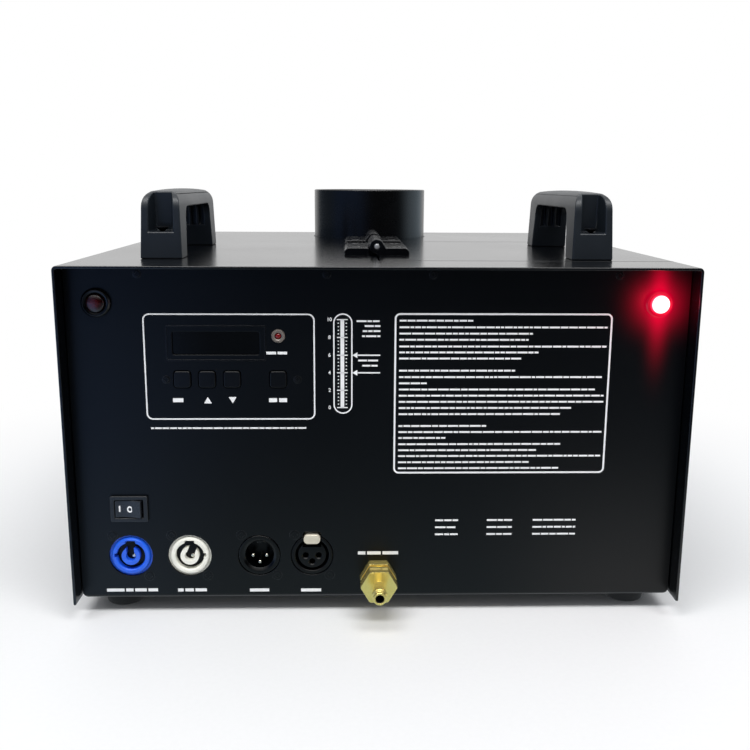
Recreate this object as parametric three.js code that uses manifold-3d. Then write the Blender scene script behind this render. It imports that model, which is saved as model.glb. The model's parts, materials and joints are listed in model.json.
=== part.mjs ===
// Stage flame machine, in millimetres: +X right, +Y towards the back, +Z up from the floor.
// Inside the machine group Y counts from the hood's front edge.

import * as THREE from 'three';
import { mergeVertices } from 'three/addons/utils/BufferGeometryUtils.js';
import Module from 'manifold-3d';

const wasm = await Module();
wasm.setup();

// Counts of steps round a curve
const coarse = 10;
const medium = 16;
const fine = 24;
const tubeSides = 40;
const slotSteps = 1;
const cornerSteps = 2;
const profileSteps = 5;
const rodSteps = 12;
const rodSides = 8;

// General clearances
const seam = 0.3;
const overrun = 5;

// Case
const caseWidth = 332;
const caseDepth = 337;
const caseHeight = 185.5;
const sheet = 1.5;
const bendRadius = 2.5;
const frontRecess = 12;
const rearRecess = 3;
const hoodLift = 1.5;
const lipDrop = 12;
const sideFlange = 14;
const panelCorner = 4;

// Feet
const footHeight = 9;
const footRadius = 12;
const footTaper = 1.2;
const footInset = 21;
const footSetback = 32;

// Vents in the rear panel and the floor
const ventWidth = 3.2;
const ventLength = 32;
const ventPitch = 9;
const ventRise = 28;
const ventsPerGroup = 7;
const drainWidth = 3.5;
const drainLength = 30;
const drainPitch = 14;
const drainCount = 5;

// Lid, the right-hand part of the top plate
const lidSheet = 1.2;
const lidFront = 40;
const lidTubeGap = 31.5;
const lidLeft = 1;
const lidGap = 1;
const lidFlange = 30;
const ledge = 8;

// Lid lock in the side flange
const lockRadius = 8;
const lockHead = 10.5;
const lockHeadDepth = 2;
const lockCore = 5.5;
const lockDrop = 15;
const camLength = 24;
const camWidth = 9;
const camThick = 2;
const lockSlotWidth = 1.6;
const lockSlotDepth = 1;
const lockSlotLength = 8;

// Hinges
const hingeHalf = 19;
const hingeLeaf = 4.6;
const hingeChamfer = 1.8;
const hingeLength = 49;
const hingeFrontShare = 0.4571;
const hingeRearShare = 0.2429;
const knuckleRadius = 4.2;
const knuckleGap = 0.8;
const knuckleLength = 12;
const hingePinRadius = 1.5;
const pinHeight = 5.4;
const pinProud = 0.4;

// Handles
const handleFrontGap = 6;
const handleRearGap = 30;
const handleWidth = 23;
const handleHeight = 38;
const handleLean = 2.4;
const handleRound = 7;
const handleShoulder = 14;
const handleShoulderDrop = 11;
const handleEndLean = 2;
const handleCrown = 1.2;
const handleInset = 46;
const legFoot = 17;
const legHead = 21;
const gripUnder = 28;
const gripCorner = 7;
const pocketFloor = 14.7;
const pocketWidth = 13.6;
const pocketDepth = 14;
const pocketTopDepth = 8;
const pocketCorner = 5;
const coreSlots = 3;
const coreSlotWidth = 3;
const coreSlotPitch = 5;
const coreSlotDepth = 3;
const coreSlotRise = 4;
const coreSlotBase = 14;

// Flame tube and burner
const tubeRadius = 44;
const tubeWall = 2;
const tubeRise = 36.7;
const tubeGap = 0.8;
const tubeChamfer = 0.5;
const deckRise = 70;
const deckSideMargin = 12;
const deckEndMargin = 5;
const deckSheet = 2;
const deckWindowMargin = 14;
const nozzleRadius = 9;
const nozzleFlange = 3;
const nozzleHeight = 18;
const nozzleTip = 4;
const nozzleBore = 1.2;
const nozzleBoreDepth = 10;
const spigotRadius = 5;
const electrodeSpacing = 22;
const ceramicRadius = 4;
const ceramicCollar = 6.5;
const ceramicCollarHeight = 4;
const ceramicRise = 20;
const ceramicDrop = 14;
const electrodeRadius = 1.2;
const electrodeRise = 10;
const electrodeReach = 16;
const electrodeBend = 3;

// Gas inlet
const inletRise = 12.8;
const hexAcross = 17.5;
const nutDepth = 6;
const nutBore = 6.7;
const shankRadius = 6.4;
const collarGap = 2.4;
const bodyCollar = 7.6;
const hexDepth = 8;
const nippleReach = 14.2;
const nippleNeck = 2.6;
const nippleCollar = 4.2;
const nippleTip = 3.1;
const nippleBore = 2.2;
const nippleBoreDepth = 24;
const neckShare = 0.32;
const collarShare = 0.5;
const waistShare = 0.78;
const shankInside = 18;

// Gas train on the floor
const pipeRadius = 4;
const pipeBore = 2.8;
const valveWidth = 24;
const valveDepth = 30;
const valveHeight = 24;
const coilWidth = 28;
const coilDepth = 34;
const coilHeight = 32;
const coilCorner = 5;
const blockWidth = 40;
const blockDepth = 26;
const canValveSetback = 47.5;
const pipeBend = 14;

// Canister bay
const bayLeft = 16;
const bayGap = 20.5;
const baySheet = 1.2;
const bayTopGap = 4.5;
const bayFlange = 9;
const canShift = 2;
const canRadius = 33.5;
const cupWall = 2.5;
const cupHeight = 88;
const cupShelf = 30;
const cupHole = 8;
const couplingRadius = 13;
const couplingNeck = 6;
const couplingRise = 8;

// Electronics
const supplyWidth = 98;
const supplyDepth = 110;
const supplyHeight = 38;
const supplyShare = 0.342;
const supplyInset = 8;
const supplyRib = 3;
const supplyRibPitch = 9;
const supplyRibs = 9;
const igniterWidth = 58;
const igniterDepth = 72;
const igniterHeight = 48;
const igniterShare = 0.338;
const igniterInsetShare = 0.3373;
const igniterTerminal = 6;
const igniterTerminalRise = 9;
const terminalShares = [0.25, 0.75];

// Display board, window and buttons
const displayDrop = 41.4;
const displayShare = 0.5202;
const windowWidth = 46;
const windowHeight = 12.4;
const windowRim = 2.5;
const windowPane = 2;
const boardReachLeft = 35.65;
const boardReachRight = 50.35;
const boardTopDrop = 28;
const boardBottomDrop = 70;
const boardGap = 10;
const boardThick = 1.6;
const boardPost = 2.6;
const boardPostInset = 4;
const digitDepth = 6.5;
const buttonOffsets = [-18.25, -5.15, 8.05, 32.45];
const buttonNames = ['mode', 'up', 'down', 'reset'];
const buttonDrop = 60.8;
const buttonSide = 8.8;
const buttonCorner = 1.6;
const buttonHoleGap = 0.35;
const buttonProud = 0.9;
const buttonFlange = 1.2;
const buttonFlangeDepth = 1;
const buttonTravel = 1;
const switchBody = 6.2;
const plungerRadius = 1.8;
const plungerDepth = 2.2;
const signalGap = 9.75;
const signalDrop = 37.5;
const signalRing = 3.7;
const signalProud = 1;
const signalSleeve = 2.7;
const signalLens = 1.5;
const signalSleeveDepth = 5;

// Indicator lamps
const lampInsetSide = 18.3;
const lampDrop = 20;
const lampBezel = 7.75;
const lampBezelDepth = 2.6;
const lampSleeve = 5.9;
const lampSleeveDepth = 16;
const lampLens = 4.9;
const lampDome = 1.9;
const lampInset = 9;

// Rocker switch
const rockerInset = 30;
const rockerRise = 52.7;
const bezelWidth = 20.4;
const bezelHeight = 14.6;
const bezelProud = 1.8;
const bezelCorner = 0.8;
const switchWidth = 18.8;
const switchHeight = 12.8;
const switchDepth = 17;
const rockerWell = 15.6;
const rockerWellHeight = 10.4;
const rockerWellDepth = 12;
const rockerWidth = 14.4;
const rockerHeight = 9.8;
const rockerFace = 3.6;
const rockerDish = 1.1;
const rockerHub = 4.2;
const rockerPivotInset = 1.2;
const rockerTilt = 8;

// Panel connectors
const connectorRise = 25;
const connectorShares = [0.8223, 0.6277, 0.397, 0.2211];
const connectorHole = 11.9;
const connectorNose = 11.4;
const plateGap = 3.2;
const plateHeight = 31;
const plateCorner = 3;
const plateDepth = 2.5;
const mainsRing = 10.8;
const mainsProud = 0.8;
const mainsCavity = 7.9;
const mainsCavityDepth = 13;
const mainsCore = 5.5;
const mainsCoreBore = 2.3;
const mainsSlot = 4.6;
const mainsKey = 2;
const mainsBody = 26;
const maleCavity = 7.9;
const maleCavityDepth = 14;
const maleBody = 24;
const pinCircleX = 3.8;
const pinUpper = 0.9;
const pinLower = 3;
const contactRadius = 1.2;
const contactRecess = 2;
const contactPlate = 2;
const femaleGrooveOuter = 9.3;
const femaleGrooveInner = 7.8;
const femaleGrooveDepth = 12;
const femaleHole = 1.5;
const femaleHoleDepth = 8;
const latchWidth = 9.6;
const latchHeight = 6.4;
const latchCorner = 1.8;
const latchRise = 13.2;
const latchProud = 1.4;
const latchDepth = 9;
const latchTravel = 1.4;

// Levels and faces that the pieces share
const halfWidth = caseWidth / 2;
const wallX = halfWidth - sheet;
const floorZ = footHeight + sheet;
const topZ = footHeight + caseHeight;
const ceilingZ = topZ - sheet;
const panelBack = frontRecess + sheet;
const rearFace = caseDepth - rearRecess;
const gasZ = footHeight + inletRise;
const nutFront = frontRecess - nutDepth;
const hexFront = nutFront - collarGap - hexDepth;
const nippleFront = hexFront - nippleReach;

// Burner, lid and canister bay follow one another from the rear panel
const deckWidth = 2 * (tubeRadius + deckSideMargin);
const deckDepth = 2 * (tubeRadius + deckEndMargin);
const deckZ = floorZ + deckRise;
const tubeY = rearFace - sheet - deckDepth / 2;
const spigotDrop = deckRise - valveHeight;
const lidDepth = tubeY - tubeRadius - lidTubeGap - lidFront;
const lidMiddle = lidFront + lidDepth / 2;
const lidBack = lidFront + lidDepth;
const hingeRoom = lidDepth - 2 * hingeLength;
const hingeStarts = [
  lidFront + hingeFrontShare * hingeRoom,
  lidBack - hingeRearShare * hingeRoom - hingeLength
];
const handleFront = lidFront + handleFrontGap;
const handleLength = lidDepth - handleFrontGap - handleRearGap;
const bayBack = tubeY - deckDepth / 2 - bayGap;
const canX = (bayLeft + wallX) / 2;
const canY = lidMiddle - canShift;
const canValveFront = tubeY - canValveSetback;

// Electronics share the room left along the floor
const supplyRoom = rearFace - panelBack - mainsBody - supplyDepth - igniterDepth;
const supplyFront = panelBack + mainsBody + supplyShare * supplyRoom;
const igniterFront = supplyFront + supplyDepth + igniterShare * supplyRoom;
const igniterLeft = igniterInsetShare * (wallX - deckWidth / 2 - bayFlange - igniterWidth) - wallX;

// Places on the front panel
const displayX = -displayShare * halfWidth;
const signalX = displayX + windowWidth / 2 + signalGap;
const boardLeft = displayX - boardReachLeft;
const boardRight = displayX + boardReachRight;
const buttonXs = buttonOffsets.map((offset) => displayX + offset);
const lampX = halfWidth - lampInsetSide;
const rockerX = rockerInset - halfWidth;
const rockerZ = footHeight + rockerRise;
const connectorXs = connectorShares.map((share) => -share * halfWidth);
const [inletX, outletX, maleX, femaleX] = connectorXs;
const connectorZ = footHeight + connectorRise;
const plateWidth = femaleX - maleX - plateGap;

// Materials
function finish(color, roughness, metalness) {
  return new THREE.MeshStandardMaterial({ color, roughness, metalness });
}

const blackPaint = () => finish(0x14181c, 0.45, 0.3);
const blackPlastic = () => finish(0x26282a, 0.6, 0);
const glossPlastic = () => finish(0x101214, 0.25, 0);
const steel = () => finish(0xb9bcc0, 0.35, 0.9);
const galvanised = () => finish(0xa4a8aa, 0.5, 0.8);
const brass = () => finish(0xc9a24a, 0.3, 0.9);
const rubber = () => finish(0x1b1b1b, 0.9, 0);
const ceramic = () => finish(0xe9e4d8, 0.4, 0);
const redLens = () => finish(0x8f0e12, 0.15, 0);
const tintedPane = () => finish(0x08090a, 0.1, 0);
const circuitBoard = () => finish(0x1f5a34, 0.6, 0);
const coilPlastic = () => finish(0x1d1f22, 0.55, 0);

// Ways to lay a form drawn in X and Y, or turned about Y, along another axis
const basis = (...axes) => new THREE.Matrix4().makeBasis(...axes.map((axis) => new THREE.Vector3(...axis)));
const sweepAlongX = basis([0, 1, 0], [0, 0, 1], [1, 0, 0]);
const sweepAlongY = basis([1, 0, 0], [0, 0, 1], [0, -1, 0]);
const turnToX = basis([0, 1, 0], [1, 0, 0], [0, 0, -1]);
const turnToZ = basis([1, 0, 0], [0, 0, 1], [0, -1, 0]);
const asDrawn = new THREE.Matrix4();

// A closed geometry as a solid: vertices merged, slivers dropped, faces pointing out
function solid(geometry) {
  const bare = geometry.clone();
  bare.deleteAttribute('normal');
  bare.deleteAttribute('uv');
  const merged = mergeVertices(bare);
  const places = merged.attributes.position.array;
  const corners = merged.index.array;
  const kept = [];
  let volume = 0;
  const corner = (i) => new THREE.Vector3().fromArray(places, 3 * i);
  for (let i = 0; i < corners.length; i += 3) {
    const [a, b, c] = corners.slice(i, i + 3);
    if (a === b || b === c || c === a) continue;
    kept.push(a, b, c);
    volume += corner(a).dot(corner(b).cross(corner(c)));
  }
  const triVerts = Uint32Array.from(kept);
  if (volume < 0) triVerts.reverse();
  const vertProperties = Float32Array.from(places);
  return new wasm.Manifold(new wasm.Mesh({ numProp: 3, vertProperties, triVerts }));
}

// A block between two corners
function block(x0, x1, y0, y1, z0, z1) {
  const box = new THREE.BoxGeometry(x1 - x0, y1 - y0, z1 - z0);
  return solid(box.translate((x0 + x1) / 2, (y0 + y1) / 2, (z0 + z1) / 2));
}

// An outline swept between two levels, upwards, sideways or front to back
function raised(shape, z0, z1, curveSegments = profileSteps) {
  const form = new THREE.ExtrudeGeometry(shape, { depth: z1 - z0, bevelEnabled: false, curveSegments });
  return solid(form.translate(0, 0, z0));
}

function sweptX(shape, x0, x1, curveSegments = profileSteps) {
  const form = new THREE.ExtrudeGeometry(shape, { depth: x1 - x0, bevelEnabled: false, curveSegments });
  return solid(form.applyMatrix4(sweepAlongX).translate(x0, 0, 0));
}

function sweptY(shape, y0, y1, curveSegments = profileSteps) {
  const form = new THREE.ExtrudeGeometry(shape, { depth: y1 - y0, bevelEnabled: false, curveSegments });
  return solid(form.applyMatrix4(sweepAlongY).translate(0, y1, 0));
}

// A profile of radius and height pairs turned about Y, Z or X
function turned(profile, sides, x = 0, y = 0, z = 0, laid = asDrawn) {
  const form = new THREE.LatheGeometry(profile.map(([r, h]) => new THREE.Vector2(r, h)), sides);
  return solid(form.applyMatrix4(laid).translate(x, y, z));
}

const turnedUp = (profile, sides, x, y, z) => turned(profile, sides, x, y, z, turnToZ);
const turnedAcross = (profile, sides, x, y, z) => turned(profile, sides, x, y, z, turnToX);

// Profiles of a plain round bar and of a pipe
const bar = (radius, h0, h1) => [[0, h0], [radius, h0], [radius, h1], [0, h1]];
const sleeve = (bore, radius, h0, h1) => [[bore, h0], [radius, h0], [radius, h1], [bore, h1], [bore, h0]];

// A rectangle with round corners, between four sides or about the origin
function roundedRect(x0, x1, y0, y1, radius) {
  const shape = new THREE.Shape();
  shape.absarc(x1 - radius, y0 + radius, radius, -Math.PI / 2, 0);
  shape.absarc(x1 - radius, y1 - radius, radius, 0, Math.PI / 2);
  shape.absarc(x0 + radius, y1 - radius, radius, Math.PI / 2, Math.PI);
  shape.absarc(x0 + radius, y0 + radius, radius, Math.PI, 1.5 * Math.PI);
  return shape;
}

function centredRect(width, height, radius) {
  return roundedRect(-width / 2, width / 2, -height / 2, height / 2, radius);
}

function outline(points) {
  return new THREE.Shape(points.map(([x, y]) => new THREE.Vector2(x, y)));
}

function hexagon(across) {
  const radius = across / Math.sqrt(3);
  const turns = [0, 1, 2, 3, 4, 5].map((step) => step * Math.PI / 3);
  return outline(turns.map((turn) => [radius * Math.cos(turn), radius * Math.sin(turn)]));
}

// A named mesh from a solid
function piece(name, form, material, place = [0, 0, 0], parent = machine) {
  const mesh = form.getMesh();
  const geometry = new THREE.BufferGeometry();
  geometry.setAttribute('position', new THREE.BufferAttribute(mesh.vertProperties, 3));
  geometry.setIndex(new THREE.BufferAttribute(mesh.triVerts, 1));
  const made = new THREE.Mesh(geometry.toNonIndexed(), material);
  made.geometry.computeVertexNormals();
  made.name = name;
  made.position.set(...place);
  parent.add(made);
  return made;
}

const group = new THREE.Group();
const machine = new THREE.Group();
machine.position.y = -(nippleFront + caseDepth) / 2;
group.add(machine);

// Hood: top plate and sides folded from one sheet, with lips behind both panels

function foldedTop(left, right, bottom, top, thickness, radius) {
  const shape = new THREE.Shape();
  const inner = radius - thickness;
  shape.moveTo(left, bottom);
  shape.lineTo(left, top - radius);
  shape.absarc(left + radius, top - radius, radius, Math.PI, Math.PI / 2, true);
  shape.absarc(right - radius, top - radius, radius, Math.PI / 2, 0, true);
  shape.lineTo(right, bottom);
  shape.lineTo(right - thickness, bottom);
  shape.absarc(right - radius, top - radius, inner, 0, Math.PI / 2);
  shape.absarc(left + radius, top - radius, inner, Math.PI / 2, Math.PI);
  shape.lineTo(left + thickness, bottom);
  return shape;
}

function makeHood() {
  const sides = foldedTop(-halfWidth, halfWidth, footHeight + hoodLift, topZ, sheet, bendRadius);
  let form = sweptY(sides, 0, caseDepth);
  const lipX = wallX - bendRadius;
  const lips = [panelBack + seam, rearFace - 2 * sheet - seam];
  for (const y of lips) {
    form = form.add(block(-lipX, lipX, y, y + sheet, ceilingZ - lipDrop, topZ - sheet / 2));
  }
  const opening = [lidFront - lidGap, lidBack + lidGap];
  form = form.subtract(block(lidLeft - lidGap, halfWidth + overrun, opening[0], opening[1],
    topZ - lidFlange - lidGap, topZ + overrun));
  const ledges = [[opening[0] - ledge, opening[0] + ledge], [opening[1] - ledge, opening[1] + ledge]];
  for (const [y0, y1] of ledges) {
    form = form.add(block(lidLeft - lidGap - ledge, wallX - lidGap, y0, y1, ceilingZ - sheet, ceilingZ));
  }
  const hole = turnedUp(bar(tubeRadius + tubeGap, topZ - overrun, topZ + overrun), tubeSides, 0, tubeY, 0);
  return form.subtract(hole);
}

// Chassis: front panel and floor folded from one sheet

function slotShape(x, z, width, height) {
  const end = Math.min(width, height) / 2;
  return roundedRect(x - width / 2, x + width / 2, z - height / 2, z + height / 2, end);
}

function panelCuts() {
  const through = (shape) => sweptY(shape, frontRecess - overrun, panelBack + overrun, cornerSteps);
  const round = (radius, x, z, sides = fine) =>
    turned(bar(radius, frontRecess - overrun, panelBack + overrun), sides, x, 0, z);
  const middle = topZ - displayDrop;
  const cuts = [through(roundedRect(displayX - windowWidth / 2, displayX + windowWidth / 2,
    middle - windowHeight / 2, middle + windowHeight / 2, windowRim / 2))];
  const buttonHole = buttonSide / 2 + buttonHoleGap;
  for (const x of buttonXs) {
    const z = topZ - buttonDrop;
    cuts.push(through(roundedRect(x - buttonHole, x + buttonHole, z - buttonHole, z + buttonHole,
      buttonCorner + buttonHoleGap)));
  }
  cuts.push(round(signalSleeve + seam, signalX, topZ - signalDrop, medium));
  for (const x of [-lampX, lampX]) {
    cuts.push(round(lampSleeve + seam, x, topZ - lampDrop, medium));
  }
  const switchX = [rockerX - switchWidth / 2 - seam, rockerX + switchWidth / 2 + seam];
  const switchZ = [rockerZ - switchHeight / 2 - seam, rockerZ + switchHeight / 2 + seam];
  cuts.push(through(roundedRect(...switchX, ...switchZ, seam)));
  for (const x of connectorXs) {
    cuts.push(round(connectorHole, x, connectorZ));
  }
  const latchTop = connectorZ + latchRise + seam;
  const latchHalf = latchWidth / 2 + seam;
  cuts.push(through(roundedRect(femaleX - latchHalf, femaleX + latchHalf, latchTop - latchHeight, latchTop,
    latchCorner)));
  cuts.push(round(shankRadius + seam, 0, gasZ, medium));
  return cuts;
}

function makeChassis() {
  const half = wallX - seam;
  const inner = bendRadius - sheet;
  const panelTop = ceilingZ - seam;
  const fold = new THREE.Shape();
  fold.moveTo(frontRecess, panelTop);
  fold.lineTo(frontRecess, footHeight + bendRadius);
  fold.absarc(frontRecess + bendRadius, footHeight + bendRadius, bendRadius, Math.PI, 1.5 * Math.PI);
  fold.lineTo(rearFace, footHeight);
  fold.lineTo(rearFace, floorZ);
  fold.absarc(frontRecess + bendRadius, footHeight + bendRadius, inner, 1.5 * Math.PI, Math.PI, true);
  fold.lineTo(panelBack, panelTop);
  let form = sweptX(fold, -half, half);
  for (const x of [-half, half - sheet]) {
    const low = block(x, x + sheet, panelBack, rearFace - sheet - seam, footHeight + sheet / 2,
      floorZ + sideFlange);
    const upright = block(x, x + sheet, frontRecess + sheet / 2, panelBack + sideFlange, floorZ,
      panelTop - sheet - seam);
    form = form.add(low).add(upright);
  }
  const outside = roundedRect(-half, half, footHeight, panelTop + overrun, panelCorner);
  form = form.intersect(sweptY(outside, frontRecess - overrun, rearFace + overrun));
  for (const cut of panelCuts()) {
    form = form.subtract(cut);
  }
  const drainFront = canY + canRadius + cupWall + drainPitch / 2;
  for (let i = 0; i < drainCount; i += 1) {
    const x = canX + (i - (drainCount - 1) / 2) * drainPitch;
    const half = drainWidth / 2;
    const slot = roundedRect(x - half, x + half, drainFront, drainFront + drainLength, half);
    form = form.subtract(raised(slot, footHeight - overrun, floorZ + overrun, slotSteps));
  }
  return form;
}

function makeRearPanel() {
  const half = wallX - seam;
  const top = ceilingZ - seam;
  const fold = outline([[rearFace, floorZ], [rearFace, top], [rearFace - sheet, top],
    [rearFace - sheet, floorZ + sheet], [rearFace - lipDrop, floorZ + sheet],
    [rearFace - lipDrop, floorZ]]);
  let form = sweptX(fold, sheet + seam - half, half - sheet - seam);
  const high = top - ventRise - ventLength / 2;
  for (const side of [-1, 1]) {
    for (let i = 0; i < ventsPerGroup; i += 1) {
      const x = side * (halfWidth / 2) + (i - (ventsPerGroup - 1) / 2) * ventPitch;
      form = form.subtract(sweptY(slotShape(x, high, ventWidth, ventLength), rearFace - sheet - overrun,
        rearFace + overrun, slotSteps));
    }
  }
  return form;
}

piece('hood', makeHood(), blackPaint());
piece('chassis', makeChassis(), blackPaint());
piece('rear_panel', makeRearPanel(), blackPaint());

// Feet: tapered rubber pads under the floor

const footBottom = footRadius - footTaper;
const footProfile = [[0, 0], [footBottom - footTaper, 0], [footBottom, footTaper],
  [footRadius, footHeight - footTaper], [footRadius, footHeight], [0, footHeight]];
const footPlaces = {
  foot_front_left: [footInset - halfWidth, footSetback],
  foot_front_right: [halfWidth - footInset, footSetback],
  foot_rear_left: [footInset - halfWidth, rearFace - footSetback],
  foot_rear_right: [halfWidth - footInset, rearFace - footSetback]
};
for (const [name, [x, y]] of Object.entries(footPlaces)) {
  piece(name, turnedUp(footProfile, medium), rubber(), [x, y, 0]);
}

// Flame tube, burner bracket, nozzle and electrodes

const tubeTop = topZ + tubeRise;
const tubeBore = tubeRadius - tubeWall;
const tubeProfile = [
  [tubeBore, deckZ], [tubeRadius, deckZ], [tubeRadius, tubeTop - tubeChamfer],
  [tubeRadius - tubeChamfer, tubeTop], [tubeBore + tubeChamfer, tubeTop],
  [tubeBore, tubeTop - tubeChamfer], [tubeBore, deckZ]
];
piece('flame_tube', turnedUp(tubeProfile, tubeSides, 0, tubeY, 0), blackPaint());

function makeBurnerBracket() {
  const half = deckWidth / 2;
  const y0 = tubeY - deckDepth / 2;
  const y1 = tubeY + deckDepth / 2;
  const bridge = foldedTop(-half, half, floorZ, deckZ, deckSheet, bendRadius);
  let form = sweptY(bridge, y0, y1);
  for (const x of [-half, half - deckSheet]) {
    const side = x < 0 ? [x - bayFlange, x + deckSheet] : [x, x + deckSheet + bayFlange];
    form = form.add(block(side[0], side[1], y0, y1, floorZ, floorZ + deckSheet));
  }
  const wide = half + bayFlange + overrun;
  const windows = block(-wide, wide, y0 + deckWindowMargin, y1 - deckWindowMargin, floorZ + 2 * deckSheet,
    deckZ - deckWindowMargin);
  const lipNotch = block(-wide, wide, rearFace - lipDrop - seam, y1 + overrun, footHeight,
    floorZ + 2 * deckSheet);
  form = form.subtract(windows).subtract(lipNotch);
  const holes = [[spigotRadius, 0], [ceramicRadius, -electrodeSpacing], [ceramicRadius, electrodeSpacing]];
  for (const [radius, x] of holes) {
    const hole = bar(radius + seam, deckZ - overrun, deckZ + overrun);
    form = form.subtract(turnedUp(hole, medium, x, tubeY, 0));
  }
  return form;
}

piece('burner_bracket', makeBurnerBracket(), galvanised());

const nozzleProfile = [
  [0, -spigotDrop], [spigotRadius, -spigotDrop], [spigotRadius, 0], [nozzleRadius, 0],
  [nozzleRadius, nozzleFlange], [nozzleTip, nozzleHeight], [nozzleBore, nozzleHeight],
  [nozzleBore, nozzleHeight - nozzleBoreDepth], [0, nozzleHeight - nozzleBoreDepth]
];
piece('burner_nozzle', turnedUp(nozzleProfile, medium), brass(), [0, tubeY, deckZ]);

const collarTop = ceramicCollarHeight + ceramicCollar - ceramicRadius;
const ceramicProfile = [
  [0, -ceramicDrop], [ceramicRadius, -ceramicDrop], [ceramicRadius, 0], [ceramicCollar, 0],
  [ceramicCollar, ceramicCollarHeight], [ceramicRadius, collarTop], [ceramicRadius, ceramicRise],
  [0, ceramicRise]
];

// A round section swept along straight runs joined by one soft bend
function bentRod(radius, sides, start, knee, end, bend) {
  const [a, b, c] = [start, knee, end].map((place) => new THREE.Vector3(...place));
  const before = b.clone().sub(a).normalize().multiplyScalar(-bend).add(b);
  const after = c.clone().sub(b).normalize().multiplyScalar(bend).add(b);
  const path = new THREE.CurvePath();
  path.add(new THREE.LineCurve3(a, before));
  path.add(new THREE.QuadraticBezierCurve3(before, b, after));
  path.add(new THREE.LineCurve3(after, c));
  const section = new THREE.Shape();
  section.absarc(0, 0, radius, 0, 2 * Math.PI);
  const sweep = { steps: rodSteps, curveSegments: sides / 2, extrudePath: path, bevelEnabled: false };
  return solid(new THREE.ExtrudeGeometry(section, sweep));
}

for (const [name, side] of [['left', -1], ['right', 1]]) {
  const x = side * electrodeSpacing;
  piece(`insulator_${name}`, turnedUp(ceramicProfile, medium), ceramic(), [x, tubeY, deckZ]);
  const tip = [-side * electrodeReach, 0, electrodeRise];
  const rod = bentRod(electrodeRadius, rodSides, [0, 0, 0], [0, 0, electrodeRise], tip, electrodeBend);
  piece(`electrode_${name}`, rod, steel(), [x, tubeY, deckZ + ceramicRise]);
}

// Gas inlet: a nut against the panel and a hexagonal body with a nipple

const hexBody = sweptY(hexagon(hexAcross), hexFront, hexFront + hexDepth);
const alongNipple = (share) => hexFront - share * nippleReach;
const waistY = alongNipple(waistShare);
const collarY = alongNipple(collarShare);
const neckY = alongNipple(neckShare);
const hexMiddle = hexFront + hexDepth / 2;
const shankEnd = panelBack + shankInside;
const boreEnd = nippleFront + nippleBoreDepth;
const nippleProfile = [
  [nippleBore, nippleFront], [nippleTip, nippleFront], [nippleTip, waistY], [nippleNeck, waistY],
  [nippleNeck, collarY], [nippleCollar, collarY], [nippleCollar, neckY], [nippleTip, neckY],
  [nippleTip, hexMiddle], [bodyCollar, hexMiddle], [bodyCollar, nutFront - seam],
  [shankRadius, nutFront - seam], [shankRadius, shankEnd], [0, shankEnd], [0, boreEnd],
  [nippleBore, boreEnd], [nippleBore, nippleFront]
];
const nippleSolid = turned(nippleProfile, medium);
const nippleHole = turned(bar(nippleBore, nippleFront - overrun, boreEnd), medium);
piece('gas_nipple', nippleSolid.add(hexBody).subtract(nippleHole), brass(), [0, 0, gasZ]);

const nut = sweptY(hexagon(hexAcross), nutFront, frontRecess);
const nutHole = turned(bar(nutBore, nutFront - overrun, frontRecess + overrun), medium);
piece('gas_nut', nut.subtract(nutHole), brass(), [0, 0, gasZ]);

// Gas train: pipes, valves and block on the floor

const pipe = (length) => turned(sleeve(pipeBore, pipeRadius, 0, length), coarse);
const valveBlock = () => block(-valveWidth / 2, valveWidth / 2, 0, valveDepth, 0, valveHeight);
const coil = () => raised(roundedRect(-coilWidth / 2, coilWidth / 2, (valveDepth - coilDepth) / 2,
  (valveDepth + coilDepth) / 2, coilCorner), valveHeight, valveHeight + coilHeight, cornerSteps);
const blockFront = tubeY - blockDepth / 2;
const propaneValveY = shankEnd + seam;
const propanePipeY = propaneValveY + valveDepth + seam;

piece('propane_valve', valveBlock(), brass(), [0, propaneValveY, floorZ]);
piece('propane_coil', coil(), coilPlastic(), [0, propaneValveY, floorZ]);
piece('propane_pipe', pipe(blockFront - seam - propanePipeY), brass(), [0, propanePipeY, gasZ]);
const gasBlock = block(-blockWidth / 2, blockWidth / 2, 0, blockDepth, 0, valveHeight);
piece('gas_block', gasBlock, brass(), [0, blockFront, floorZ]);

// Canister bay: wall, cup, coupling, valve and its pipes

function makeBayWall() {
  const top = ceilingZ - bayTopGap;
  const right = wallX - sheet - 2 * seam;
  const back = bayBack;
  const front = panelBack + sheet + 2 * seam;
  const plan = outline([
    [bayLeft, front], [bayLeft + baySheet, front], [bayLeft + baySheet, back - baySheet],
    [right, back - baySheet], [right, back], [bayLeft, back]
  ]);
  let form = raised(plan, floorZ, top);
  form = form.add(block(bayLeft, bayLeft + bayFlange, front, back, floorZ, floorZ + baySheet));
  form = form.add(block(bayLeft, right, back - bayFlange, back, floorZ, floorZ + baySheet));
  const hole = turned(bar(pipeRadius + seam, back - bayFlange, back + overrun), coarse, canX, 0, gasZ);
  return form.subtract(hole);
}

function makeCup() {
  const outer = canRadius + cupWall;
  const profile = [
    [canRadius, 0], [outer, 0], [outer, cupHeight], [canRadius, cupHeight], [canRadius, cupShelf],
    [cupHole, cupShelf], [cupHole, cupShelf - cupWall], [canRadius, cupShelf - cupWall], [canRadius, 0]
  ];
  const pipeRoom = pipeRadius + seam;
  const notch = block(-pipeRoom, pipeRoom, 0, outer + overrun, 0, gasZ - floorZ + pipeRoom);
  return turnedUp(profile, fine).subtract(notch);
}

const couplingTop = cupShelf - cupWall - seam;
const couplingProfile = [
  [0, 0], [couplingRadius, 0], [couplingRadius, couplingTop], [couplingNeck, couplingTop],
  [couplingNeck, cupShelf + couplingRise], [0, cupShelf + couplingRise]
];
const canPipeStart = canY + couplingRadius;

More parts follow.
